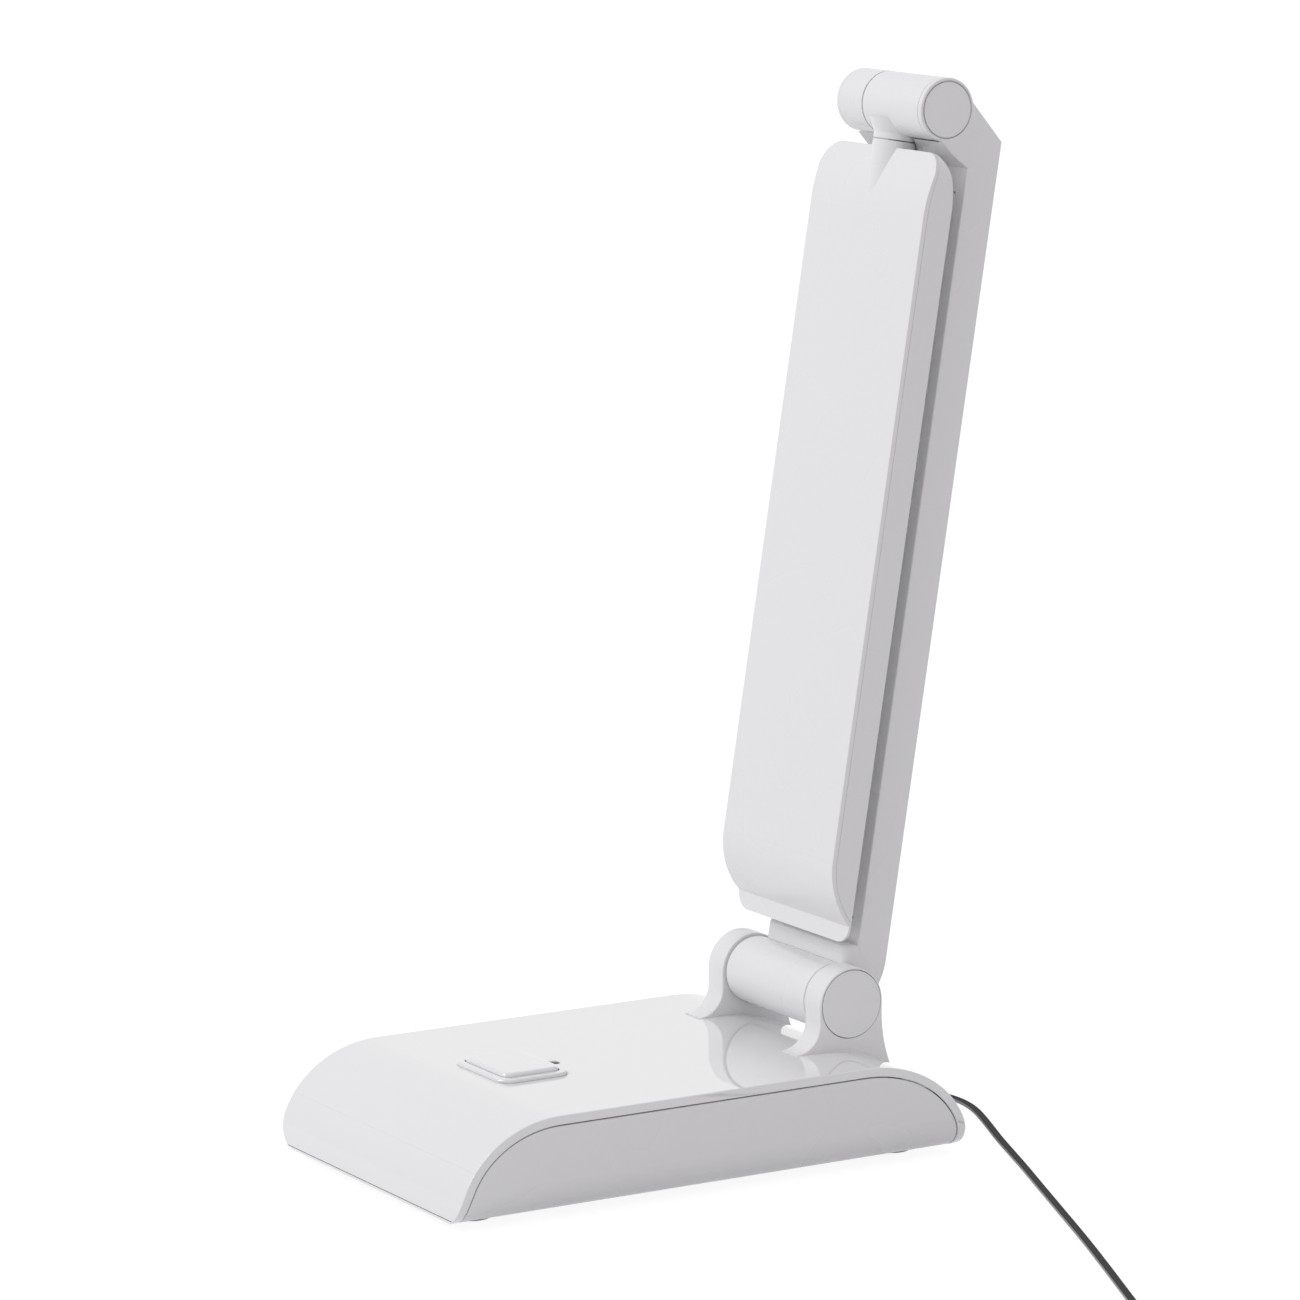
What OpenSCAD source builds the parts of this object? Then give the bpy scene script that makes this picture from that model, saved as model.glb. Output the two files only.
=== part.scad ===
// Folding desk lamp: a weighted base, a tilting arm and a flat head that folds down against the arm.
// Lengths are in millimetres. The lamp's front faces -Y and its button side is up.

/* [Base] */
// Length of the base from front lip to rear lip
base_l = 190; // [180:1:210]
// Width of the base across its top
base_w = 120; // [114:1:140]
// Width of the base where it nears the table
base_foot_w = 100; // [94:1:106]
// Height of the base above its feet
base_h = 32; // [30:0.5:40]
// Length of the curved front slope
front_run = 36; // [30:1:44]
// Length of the curved rear
rear_run = 40; // [34:1:44]
// Radius of the lips at the front and rear bottom edges
lip_r = 1.6; // [1:0.1:2.2]
// Height of the rounded lower part of the sides
side_round_h = 11.5; // [8:0.5:14]
// Thickness of the top cover, which shows at the sides as a band
cover_t = 3; // [2.4:0.1:3.6]
// Thickness of the side panels
panel_t = 2.4; // [1.8:0.1:3]
// Width of the seams between fixed covers
seam = 0.3; // [0.2:0.05:0.5]
// Thickness of the bottom plate
bottom_t = 2.2; // [1.6:0.1:3]
// Width of each side panel's turned-in bottom edge
panel_turn = 4; // [3:0.5:6]

/* [Feet and ballast] */
// Height of the feet
foot_h = 2.5; // [1.5:0.1:4]
// Diameter of the feet
foot_d = 14; // [10:0.5:16]
// Distance of the feet from the ends of the base
foot_in = 16; // [13:0.5:22]
// Thickness of the ballast plate
ballast_t = 9; // [6:0.5:10]
// Width of the ballast plate
ballast_w = 66; // [50:1:70]
// Length of the ballast plate
ballast_l = 96; // [80:1:100]

/* [Button] */
// Width of the button across the lamp
button_w = 28; // [24:0.5:32]
// Depth of the button along the lamp
button_l = 20.6; // [18:0.2:24]
// Radius of the button's corners
button_r = 3; // [2:0.25:5]
// Height of the button above the cover
button_proud = 2.4; // [1.8:0.1:3.5]
// Distance from the front lip to the button's middle
button_y = 53; // [50:0.5:60]
// Gap round the button
button_gap = 0.35; // [0.25:0.05:0.6]
// Travel of the button
button_travel = 1; // [0.6:0.1:1.2]
// Diameter of the indicator lens
lens_d = 3.8; // [3:0.1:5]
// Distance from the front lip to the indicator lens
lens_y = 68.6; // [67:0.2:74]

/* [Base hinge] */
// Distance of the hinge axis from the rear lip
hinge_from_rear = 29.3; // [27:0.1:33]
// Height of the hinge axis above the cover
hinge_h = 14.9; // [14:0.1:18]
// Radius of the rounded tops of the ears
ear_r = 12; // [11:0.1:13]
// Thickness of each ear
ear_t = 9.3; // [8:0.1:11]
// Radius of the hollow at the front of each ear's foot
ear_fillet = 9; // [6:0.5:12]
// Diameter of the round caps on the ears
ear_cap_d = 22.4; // [19:0.1:22.6]
// Thickness of the round caps
cap_t = 2; // [1.4:0.1:2.6]
// Diameter of the base hinge shaft
shaft_d = 6; // [5:0.1:7]
// Radius of the barrel between the ears
barrel_r = 11.2; // [10:0.1:11.4]
// Gap between the barrel and each ear, which holds a washer
barrel_gap = 0.7; // [0.6:0.05:0.9]

/* [Arm] */
// Lean of the arm behind upright as it stands
lean = 9.1; // [4:0.1:12]
// Width of the arm
arm_w = 50; // [46:0.5:54]
// Distance from the base hinge axis back to the arm's front face
arm_front = 6; // [5:0.1:7]
// Thickness of the arm
arm_t = 12; // [11:0.1:14]
// Length of the arm between its two hinge axes
arm_l = 291.3; // [250:0.1:320]
// Drop from the top hinge axis to the back corner of the arm's bend
corner_drop = 7.8; // [6:0.1:12]
// Wall of the arm's shell
arm_wall = 2.2; // [1.8:0.1:2.6]
// Radius of the rounded edge of the ledge above the barrel
ledge_r = 1.5; // [1:0.1:2]

/* [Top hinge] */
// Distance of the top hinge axis in front of the base hinge axis
top_front = 5; // [4:0.1:6]
// Radius of the top barrel
top_r = 10.3; // [9.5:0.1:10.8]
// Width of the arm's knuckle on the left, without its cap
knuckle_w = 13.2; // [11:0.1:14]
// Width of the arm's cheek on the right
cheek_w = 1.9; // [1.6:0.1:3]
// Diameter of the cap in the right cheek
top_cap_d = 17.9; // [15:0.1:18.4]
// Diameter of the top hinge shaft
top_shaft_d = 5; // [4:0.1:6]
// Gap between turning faces
turn_gap = 0.3; // [0.2:0.05:0.4]

/* [Head] */
// Width of the head
head_w = 67.6; // [62:0.2:74]
// Thickness of the head
head_t = 10.7; // [9.5:0.1:12]
// Distance from the base hinge axis forward to the head's back face
head_front = 3.5; // [3:0.1:4]
// Gap between the head's tip and the ledge above the base hinge
tip_gap = 1.4; // [1.2:0.1:3]
// Gap between the head's top end and the top barrel
head_drop = 4; // [3.8:0.1:6]
// Radius of the head's corners at the top hinge
head_r_top = 9; // [6:0.5:16]
// Radius of the head's corners at the free end
head_r_tip = 6.5; // [4:0.5:12]
// Radius of the curve that thins the free end
tip_bend = 28; // [22:1:34]
// Length of the curves that thin the top end
top_run = 21; // [16:0.5:26]
// Thickness of the outer shell of the head
shell_t = 1.4; // [1.2:0.1:2]
// Width of the head's frame round the diffuser
frame_w = 5.5; // [4.5:0.1:7]
// Diameter of the neck at its turning seam
neck_d = 14; // [12:0.1:15]
// Height of the neck's turning seam above the head's top end
neck_rise = 2.2; // [1.8:0.1:3]

/* [Cord] */
// Width of the flat two-core cord
cord_w = 2.8; // [2.4:0.1:3.2]
// Thickness of the flat two-core cord
cord_t = 1.5; // [1.3:0.1:1.7]
// Turns in each layer of the coil
coil_turns = 2.75; // [2:0.25:3]
// Width of the plug's moulded body
plug_w = 15.5; // [14:0.1:17]
// Height of the plug's moulded body
plug_h = 7.8; // [7:0.1:9]
// Length of the plug's moulded body
plug_l = 23; // [18:0.5:28]

/* [Hidden] */
$fn = 64;

// Play round a fixed pin and round a turning pin, measured on the radius
fixed_play = 0.03;
turn_play = 0.06;
// How far a cutting shape runs past the face that it cuts
past = 1;

// The origin is the middle of the lamp's box on the table, so the arm's reach behind the base counts
arm_back = arm_front + arm_t;
top_t = arm_l;
corner_t = arm_l - corner_drop;
overhang = arm_back * cos(lean) + corner_t * sin(lean) - hinge_from_rear;
front_y = -(base_l + overhang) / 2;
rear_y = front_y + base_l;
z_under = foot_h;
z_top = foot_h + base_h;
lip_z = z_under + lip_r;
hinge_y = rear_y - hinge_from_rear;
hinge_z = z_top + hinge_h;
panel_x = base_foot_w / 2 - panel_turn;

function arc(cx, cy, rx, ry, a0, a1, n) =
    [for (i = [0 : n]) let (a = a0 + (a1 - a0) * i / n) [cx + rx * cos(a), cy + ry * sin(a)]];
function tail(list) = [for (i = [1 : len(list) - 1]) list[i]];

// Side view of the base, as y and z
function base_profile() = concat(
    arc(front_y + lip_r, lip_z, lip_r, lip_r, 270, 180, 4),
    tail(arc(front_y + front_run, lip_z, front_run, z_top - lip_z, 180, 90, 16)),
    arc(rear_y - rear_run, lip_z, rear_run, z_top - lip_z, 90, 0, 16),
    tail(arc(rear_y - lip_r, lip_z, lip_r, lip_r, 0, -90, 4)));

// The same outline drawn in by a distance, and left open towards the table
function base_inside(inset) = concat(
    [[front_y + inset, -past]],
    arc(front_y + front_run, lip_z, front_run - inset, z_top - lip_z - inset, 180, 90, 16),
    arc(rear_y - rear_run, lip_z, rear_run - inset, z_top - lip_z - inset, 90, 0, 16),
    [[rear_y - inset, -past]]);

// Half of the front view of the base, as x and z
function side_half(inset) = concat(
    [[0, z_top + past], [base_w / 2 - inset, z_top + past]],
    arc(base_foot_w / 2, z_under + side_round_h, (base_w - base_foot_w) / 2 - inset,
        side_round_h - inset, 0, -90, 10),
    [[0, z_under + inset]]);

// Draws a shape given as y and z along x, from x0 to x1
module along_x(x0, x1) {
    translate([x0, 0, 0]) rotate([90, 0, 90]) linear_extrude(x1 - x0) children();
}

// Draws a shape given as x and z along y, from y0 to y1
module along_y(y0, y1) {
    translate([0, y1, 0]) rotate([90, 0, 0]) linear_extrude(y1 - y0) children();
}

module rod_x(x0, x1, r) {
    translate([x0, 0, 0]) rotate([0, 90, 0]) cylinder(h = x1 - x0, r = r);
}

module rounded_rect(w, l, r) {
    square([w - 2 * r, l], center = true);
    square([w, l - 2 * r], center = true);
    for (x = [-1, 1], y = [-1, 1]) translate([x * (w / 2 - r), y * (l / 2 - r)]) circle(r);
}

module base_front_view(inset) {
    polygon(side_half(inset));
    mirror([1, 0]) polygon(side_half(inset));
}

module base_block() {
    intersection() {
        along_x(-base_w, base_w) polygon(base_profile());
        along_y(front_y - past, rear_y + past) base_front_view(0);
    }
}

// Screw towers under the cover
boss_d = 7;
boss_x = base_foot_w / 2 - panel_turn - boss_d;
boss_ys = [front_y + front_run + boss_d / 2 + 2, rear_y - rear_run - boss_d / 2];
boss_z = z_under + bottom_t;
pilot_d = 2.6;
screw_d = 3;
screw_head_d = 5.4;
screw_head_h = 1.4;
screw_l = 12;
screw_play = 0.2;
button_at = front_y + button_y;
lens_at = front_y + lens_y;

// The board hangs on posts under the cover, below the button and the indicator
board_t = 1.6;
board_drop = 12;
board_top = z_top - cover_t - board_drop;
board_w = 44;
board_front = button_at - button_l / 2 - 2;
board_rear = lens_at + 7;
post_d = 5;
post_x = board_w / 2 - post_d / 2;
post_ys = [board_front + post_d / 2, board_rear - post_d / 2];
skirt_h = 3.5;
skirt_wall = 1.6;
stem_d = 5;
switch_w = 6;
switch_h = 4.5;
plunger_d = 3.4;
bezel_w = button_w + 6.4;
bezel_l = button_l + 5.4;
bezel_h = 1.2;

// Where the cord leaves the base
exit_x = -28;
exit_z = 9;
exit_bore = 6.8;
grommet_len = 14;
grommet_flange = 1.6;
exit_wall = rear_y - rear_run + rear_run * sqrt(1 - pow((exit_z - lip_z) / (z_top - lip_z), 2));
cord_start = exit_wall + grommet_len;

module base_cover() {
    color("white") difference() {
        union() {
            difference() {
                base_block();
                along_x(-base_w, base_w) polygon(base_inside(cover_t));
            }
            for (x = [-1, 1], y = boss_ys) translate([x * boss_x, y, boss_z])
                cylinder(h = z_top - cover_t / 2 - boss_z, d = boss_d);
            for (x = [-1, 1], y = post_ys) translate([x * post_x, y, board_top])
                cylinder(h = z_top - cover_t / 2 - board_top, d = post_d);
        }
        for (x = [-1, 1], y = boss_ys) translate([x * boss_x, y, boss_z - past])
            cylinder(h = screw_l + past, d = pilot_d);
        translate([0, button_at, z_top - cover_t - past]) linear_extrude(cover_t + 2 * past)
            rounded_rect(button_w + 2 * button_gap, button_l + 2 * button_gap, button_r + button_gap);
        translate([0, lens_at, z_top - cover_t - past])
            cylinder(h = cover_t + 2 * past, d = lens_d + 2 * fixed_play);
        translate([exit_x, rear_y + past, exit_z]) rotate([90, 0, 0])
            cylinder(h = rear_run / 2, d = exit_bore + 2 * fixed_play);
    }
}

module side_panel() {
    intersection() {
        along_x(panel_x, base_w) polygon(base_inside(cover_t + seam));
        along_y(front_y - past, rear_y + past) difference() {
            polygon(side_half(0));
            polygon(side_half(panel_t));
        }
    }
}

module side_panel_right() {
    color("gainsboro") side_panel();
}

module side_panel_left() {
    color("gainsboro") mirror([1, 0, 0]) side_panel();
}

module at_screws() {
    for (x = [-1, 1], y = boss_ys) translate([x * boss_x, y, z_under]) children();
}

module base_bottom() {
    inset = cover_t + seam;
    color("gainsboro") difference() {
        translate([-panel_x + seam, front_y + inset, z_under])
            cube([2 * (panel_x - seam), base_l - 2 * inset, bottom_t]);
        at_screws() translate([0, 0, -past]) cylinder(h = bottom_t + 2 * past, d = screw_d + 2 * screw_play);
        at_screws() translate([0, 0, -past]) cylinder(h = screw_head_h + past, d = screw_head_d + 2 * screw_play);
    }
}

module base_screws() {
    color("silver") at_screws() {
        cylinder(h = screw_head_h - 0.2, d = screw_head_d);
        cylinder(h = screw_l - 1, d = pilot_d - 2 * fixed_play);
    }
}

module ballast_plate() {
    color("dimgray") translate([0, (front_y + rear_y) / 2, z_under + bottom_t])
        linear_extrude(ballast_t) rounded_rect(ballast_w, ballast_l, 4);
}

module rubber_feet() {
    color("gray") for (x = [-1, 1], y = [front_y + foot_in, rear_y - foot_in])
        translate([x * (panel_x - foot_d / 2 - 1), y, 0]) {
            cylinder(h = foot_h / 2, d1 = foot_d - foot_h / 2, d2 = foot_d);
            translate([0, 0, foot_h / 2]) cylinder(h = foot_h / 2, d = foot_d);
        }
}

module control_board() {
    color("darkgreen") translate([-board_w / 2, board_front, board_top - board_t])
        cube([board_w, board_rear - board_front, board_t]);
}

module switch_body() {
    color("dimgray") translate([0, button_at, board_top]) difference() {
        translate([-switch_w / 2, -switch_w / 2, 0]) cube([switch_w, switch_w, switch_h]);
        translate([0, 0, switch_h - 2.5]) cylinder(h = 2.5 + past, d = plunger_d + 2 * turn_play);
    }
}

module indicator_lamp() {
    color("lightblue") translate([0, lens_at, board_top])
        cylinder(h = board_drop - 0.3, d = lens_d - 0.8);
}

module indicator_lens() {
    color("black") translate([0, lens_at, z_top - cover_t])
        cylinder(h = cover_t + 0.1, d = lens_d);
}

module button_cap() {
    taper = 1.6;
    color("white") translate([0, button_at, z_top]) {
        difference() {
            translate([0, 0, -skirt_h]) linear_extrude(skirt_h + button_proud / 2)
                rounded_rect(button_w, button_l, button_r);
            translate([0, 0, -skirt_h - past]) linear_extrude(skirt_h + past - skirt_wall / 2)
                rounded_rect(button_w - 2 * skirt_wall, button_l - 2 * skirt_wall, button_r - 1);
        }
        hull() {
            translate([0, 0, button_proud / 2 - 0.01]) linear_extrude(0.01)
                rounded_rect(button_w, button_l, button_r, $fn = 32);
            translate([0, 0, button_proud * 0.8]) linear_extrude(0.01)
                rounded_rect(button_w - taper, button_l - taper, button_r, $fn = 32);
            translate([0, 0, button_proud - 0.01]) linear_extrude(0.01)
                rounded_rect(button_w - 4 * taper, button_l - 4 * taper, button_r, $fn = 32);
        }
        translate([0, 0, -skirt_h]) cylinder(h = skirt_h, d = stem_d);
    }
}

module button_frame() {
    color("white") translate([0, button_at, z_top]) difference() {
        hull() {
            linear_extrude(0.01) rounded_rect(bezel_w, bezel_l, button_r + 2, $fn = 32);
            translate([0, 0, bezel_h - 0.01]) linear_extrude(0.01)
                rounded_rect(bezel_w - 2 * bezel_h, bezel_l - 2 * bezel_h, button_r + 1, $fn = 32);
        }
        translate([0, 0, -past]) linear_extrude(bezel_h + 2 * past)
            rounded_rect(button_w + 2 * button_gap, button_l + 2 * button_gap, button_r + button_gap);
    }
}

module switch_plunger() {
    bottom = board_top + switch_h - 2.5 + button_travel + 0.2;
    color("black") translate([0, button_at, bottom])
        cylinder(h = z_top - skirt_h - bottom, d = plunger_d);
}

module cord_grommet() {
    inner = cover_t + 2.5;
    lip_t = 1.5;
    color("dimgray") difference() {
        translate([exit_x, exit_wall, exit_z]) rotate([-90, 0, 0]) {
            translate([0, 0, -1]) cylinder(h = grommet_flange + 1, d = exit_bore + 1.6);
            cylinder(h = grommet_len, d1 = exit_bore - 1, d2 = cord_w + 1.2);
        }
        translate([0, seam / 6, 0]) along_x(-base_w, base_w) polygon(base_profile());
    }
    color("dimgray") translate([exit_x, exit_wall, exit_z]) rotate([-90, 0, 0]) {
        translate([0, 0, -inner]) cylinder(h = inner + 0.5, d = exit_bore);
        translate([0, 0, -inner - lip_t]) cylinder(h = lip_t, d = exit_bore + 1.2);
    }
}

// The ears stand on the curved rear of the cover, on each side of the arm
ear_x = arm_w / 2 + turn_gap;
foot_edge = 0.3;

module ear_foot_outline() {
    drop = hinge_z - z_top;
    polygon(concat(
        arc(-ear_r - ear_fillet, -drop + foot_edge + ear_fillet, ear_fillet, ear_fillet, -90, 0, 8),
        [[-ear_r, 0], [ear_r, 0]],
        arc(ear_r + 4 * ear_r, -ear_r / 3, 4 * ear_r, 4 * ear_r, 180, 212, 6),
        [[-ear_r - ear_fillet, -drop - ear_r]]));
}

module hinge_ear() {
    difference() {
        translate([0, hinge_y, hinge_z]) {
            rod_x(ear_x, ear_x + ear_t, ear_r);
            along_x(ear_x, ear_x + ear_t) ear_foot_outline();
        }
        along_x(0, base_w) polygon(base_profile());
        translate([0, hinge_y, hinge_z]) {
            rod_x(0, base_w, shaft_d / 2 + fixed_play);
            rod_x(ear_x + ear_t - cap_t, base_w, ear_cap_d / 2 + seam);
        }
    }
}

module hinge_ear_right() {
    color("white") hinge_ear();
}

module hinge_ear_left() {
    color("white") mirror([1, 0, 0]) hinge_ear();
}

// A round cap with a fine raised rim, lying in a recess that ends at x
module round_cap(x, d, t) {
    rim = 0.25;
    translate([x - t, 0, 0]) rotate([0, 90, 0]) rotate_extrude() polygon([[0, 0], [d / 2, 0],
        [d / 2, t + rim - 0.15], [d / 2 - 0.15, t + rim], [d / 2 - 0.6, t + rim], [d / 2 - 0.9, t],
        [0, t]]);
}

module ear_cap_right() {
    color("gainsboro") translate([0, hinge_y, hinge_z]) round_cap(ear_x + ear_t, ear_cap_d, cap_t);
}

module ear_cap_left() {
    color("gainsboro") mirror([1, 0, 0]) translate([0, hinge_y, hinge_z])
        round_cap(ear_x + ear_t, ear_cap_d, cap_t);
}

module hinge_shaft() {
    reach = ear_x + ear_t - cap_t - turn_gap;
    color("silver") translate([0, hinge_y, hinge_z]) rod_x(-reach, reach, shaft_d / 2);
}

barrel_x = ear_x - barrel_gap;

module hinge_washers() {
    color("silver") translate([0, hinge_y, hinge_z]) difference() {
        for (x = [barrel_x + 0.1, -ear_x + 0.1]) rod_x(x, x + barrel_gap - 0.2, ear_r * 0.7);
        rod_x(-base_w, base_w, shaft_d / 2 + turn_play);
    }
}

// Arm and head are drawn upright, with the base hinge axis at the origin, then leaned back
module leaned() {
    translate([0, hinge_y, hinge_z]) rotate([-lean, 0, 0]) children();
}

module at_top_hinge() {
    translate([0, -top_front, top_t]) children();
}

// Side view of the arm's plate with its bend above, as y and z
ledge_z = 17.9;
bend_inner = corner_t - 10;
bend_run = 6.5;
bend_rise = 3.5;
module arm_outline() {
    polygon(concat(
        [[arm_front, 0], [arm_front, bend_inner], [arm_front - bend_run, bend_inner + bend_rise],
        [-top_front - 0.5, top_t - top_r], [-top_front, top_t],
        [-top_front + top_r * 0.92, top_t + top_r * 0.36], [arm_back, corner_t]],
        arc(barrel_r * 0.3, arm_back * 0.75, arm_back - barrel_r * 0.3, arm_back, 0, -72, 8),
        [[0, 0]]));
}

// The ledge above the barrel: its rounded front edge, and its rounded ends seen from above
ledge_front = 2;
ledge_end = 6.5;
module ledge() {
    inside = arm_front + 1;
    deep = arm_front - ledge_front;
    intersection() {
        along_x(-arm_w / 2, arm_w / 2) polygon(concat([[inside, 0], [ledge_front, 0]],
            arc(ledge_front + ledge_r, ledge_z - ledge_r, ledge_r, ledge_r, 180, 90, 5),
            [[inside, ledge_z]]));
        linear_extrude(ledge_z + 1) polygon(concat([[arm_w / 2, inside], [-arm_w / 2, inside]],
            arc(-arm_w / 2 + ledge_end, arm_front, ledge_end, deep, 180, 270, 8),
            arc(arm_w / 2 - ledge_end, arm_front, ledge_end, deep, 270, 360, 8)));
    }
}

// The barrel of the head turns between the arm's left knuckle and its right cheek
top_cap_t = 0.9;
top_cap_gap = 0.5;
cheek_x = arm_w / 2 - cheek_w;
cap_left_x = -arm_w / 2 + cap_t;
knuckle_x = cap_left_x + knuckle_w;
tube_x0 = knuckle_x + turn_gap;
tube_x1 = cheek_x - turn_gap;
window_w = arm_w - 10;
window_z0 = ledge_z + 8;
window_z1 = bend_inner - 8;
neck_gap = 0.8;

module arm_shell() {
    inner_w = arm_w - 2 * arm_wall;
    color("white") leaned() difference() {
        union() {
            along_x(-arm_w / 2, arm_w / 2) arm_outline();
            ledge();
            at_top_hinge() {
                rod_x(cap_left_x, knuckle_x, top_r);
                rod_x(cheek_x, arm_w / 2, top_r);
            }
        }
        at_top_hinge() {
            rod_x(knuckle_x, cheek_x, top_r + turn_gap);
            rod_x(-arm_w, arm_w, top_shaft_d / 2 + fixed_play);
            rod_x(arm_w / 2 - top_cap_t, arm_w, top_cap_d / 2 + top_cap_gap);
            rod_x(-arm_w, cap_left_x, top_r + seam);
        }
        translate([0, neck_axis, head_z1 - top_run])
            cylinder(h = 1.5 * top_run, d = neck_d + 2 * neck_gap);
        rod_x(-arm_w, arm_w, barrel_r + fixed_play);
        translate([-inner_w / 2, arm_front + arm_wall, window_z0 - 3])
            cube([inner_w, arm_t - 2 * arm_wall, window_z1 - window_z0 + 6]);
        translate([-window_w / 2, arm_front - past, window_z0])
            cube([window_w, arm_wall + 2 * past, window_z1 - window_z0]);
    }
}

module arm_cover() {
    edge = 0.15;
    color("gainsboro") leaned() translate([-window_w / 2 + edge, arm_front, window_z0 + edge])
        cube([window_w - 2 * edge, arm_wall, window_z1 - window_z0 - 2 * edge]);
}

module arm_barrel() {
    color("white") leaned() difference() {
        rod_x(-barrel_x, barrel_x, barrel_r);
        rod_x(-arm_w, arm_w, shaft_d / 2 + turn_play);
    }
}

wire_w = 3;
wire_x = 15;

module arm_stiffener() {
    w = 16;
    t = 2;
    color("silver") leaned() translate([-w / 2, arm_back - arm_wall - t, window_z0])
        cube([w, t, window_z1 - window_z0]);
}

module arm_wire() {
    color("dimgray") leaned() for (x = [0, 1])
        translate([-wire_x + x * wire_w / 2, arm_back - arm_wall - wire_w / 4, window_z0])
            cylinder(h = window_z1 - window_z0, d = wire_w / 2);
}

module top_shaft() {
    color("silver") leaned() at_top_hinge()
        rod_x(cap_left_x, arm_w / 2 - top_cap_t - 0.1, top_shaft_d / 2);
}

module top_cap_right() {
    color("gainsboro") leaned() at_top_hinge() round_cap(arm_w / 2, top_cap_d, top_cap_t);
}

module top_cap_left() {
    color("white") leaned() at_top_hinge() rotate([0, -90, 0])
        translate([0, 0, -cap_left_x]) {
            cylinder(h = cap_t - 0.6, r = top_r);
            translate([0, 0, cap_t - 0.6]) cylinder(h = 0.6, r1 = top_r, r2 = top_r - 0.5);
        }
}

// Head: its back face towards the arm holds the diffuser
head_back = -head_front;
head_face = head_back - head_t;
head_z0 = ledge_z + tip_gap;
head_z1 = top_t - top_r - head_drop;
neck_axis = head_back - head_t * 0.32;
seam_z = head_z1 + neck_rise;

module head_plan(inset) {
    w = head_w / 2 - inset;
    rt = head_r_top - inset;
    rb = head_r_tip - inset;
    z0 = head_z0 + inset;
    z1 = head_z1 - inset;
    polygon([[-w, z0 + rb], [-w + rb, z0], [w - rb, z0], [w, z0 + rb], [w, z1 - rt], [w - rt, z1],
        [-w + rt, z1], [-w, z1 - rt]]);
    for (s = [-1, 1]) {
        translate([s * (w - rt), z1 - rt]) circle(rt);
        translate([s * (w - rb), z0 + rb]) circle(rb);
    }
}

// Side view of the head, as y and z: the free end bends back to a thin lip, and the top end
// closes from both sides like a pointed arch. An inset draws in the front only.
tip_lip = 6;
arch_y = head_face + head_t * 0.46;
arch_half = 0.6;
function bow(z, run, depth) = depth * z * z / run / run;
function head_side(inset, back) = let (front = head_face + inset, bend = tip_bend - inset,
    bend_z = head_z0 + tip_lip + tip_bend * 0.75, lip_y = inset > 0 ? back : head_back - 1,
    lip_a = acos((bend + front - lip_y) / bend), peak_f = arch_y - arch_half + 0.6 * inset,
    peak_b = arch_y + arch_half + back - head_back, rear_run = top_run * 0.9) concat(
    inset > 0 ? [] : [[back, head_z0 - past], [head_back - 0.7, head_z0 - past]],
    arc(front + bend, bend_z, bend, bend, 180 + lip_a, 180, 12),
    [for (i = [0 : 8]) let (z = top_run * i / 8)
        [front + bow(z, top_run, peak_f - front), head_z1 - top_run + z]],
    [[peak_f, head_z1 + past], [peak_b, head_z1 + past]],
    [for (i = [8 : -1 : 0]) let (z = rear_run * i / 8)
        [back - bow(z, rear_run, back - peak_b), head_z1 - rear_run + z]]);

// Cross-section of the head, as x and y, with gently bulging sides
module head_section(inset) {
    w = head_w / 2 - inset;
    bulge = 0.7;
    polygon(concat([[-w + bulge, head_face]], [[w - bulge, head_face]],
        arc(w - bulge, (head_face + head_back) / 2, bulge, head_t / 2, -80, 80, 8),
        [[w - bulge, head_back], [-w + bulge, head_back]],
        arc(-w + bulge, (head_face + head_back) / 2, bulge, head_t / 2, 100, 260, 8)));
}

module head_block(inset) {
    intersection() {
        translate([0, head_back, 0]) rotate([90, 0, 0]) linear_extrude(head_t) head_plan(inset);
        along_x(-head_w, head_w) polygon(head_side(0, head_back));
        linear_extrude(top_t) head_section(inset);
    }
}

module head_shell() {
    color("white") leaned() difference() {
        head_block(0);
        along_x(-head_w, head_w) polygon(head_side(shell_t, head_back + past));
        translate([0, neck_axis, pin_z0 - 1]) cylinder(h = top_run, d = pin_d + 0.2);
    }
}

glass_lip = 1.2;
glass_t = 1.5;
pocket_t = 6.4;
glass_z0 = head_z0 + 24;
glass_z1 = head_z1 - top_run - 4;
module head_frame() {
    color("gainsboro") leaned() difference() {
        intersection() {
            head_block(0);
            along_x(-head_w, head_w) polygon(head_side(shell_t + 0.12, head_back + past));
        }
        translate([0, head_back + past, 0]) rotate([90, 0, 0]) linear_extrude(past + glass_t)
            head_window(0);
        translate([0, head_back - glass_t + past, 0]) rotate([90, 0, 0])
            linear_extrude(past + pocket_t - glass_t) head_window(glass_lip);
        translate([0, neck_axis, pin_z0 - 1]) cylinder(h = top_run, d = pin_d + 0.2);
    }
}

module head_window(inset) {
    w = head_w - 2 * (frame_w + inset);
    translate([0, (glass_z0 + glass_z1) / 2])
        rounded_rect(w, glass_z1 - glass_z0 - 2 * inset, 5 - inset);
}

module diffuser() {
    color("whitesmoke") leaned() translate([0, head_back - 0.1, 0]) rotate([90, 0, 0])
        linear_extrude(glass_t - 0.1) head_window(0.15);
}

board_in = 2.5;
board_thin = 1.2;
led_w = 3;
led_h = 0.9;
led_in = 12;
led_count = 14;
module led_board() {
    w = head_w - 2 * (frame_w + board_in);
    color("whitesmoke") leaned() translate([-w / 2, head_back - pocket_t, glass_z0 + board_in])
        cube([w, board_thin, glass_z1 - glass_z0 - 2 * board_in]);
}

module leds() {
    z0 = glass_z0 + led_in;
    z1 = glass_z1 - led_in;
    color("khaki") leaned() for (i = [0 : led_count - 1], s = [-1, 1])
        translate([s * head_w / 5 - led_w / 2, head_back - pocket_t + board_thin,
            z0 + (z1 - z0) * i / (led_count - 1) - led_w / 2]) cube([led_w, led_h, led_w]);
}

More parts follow.
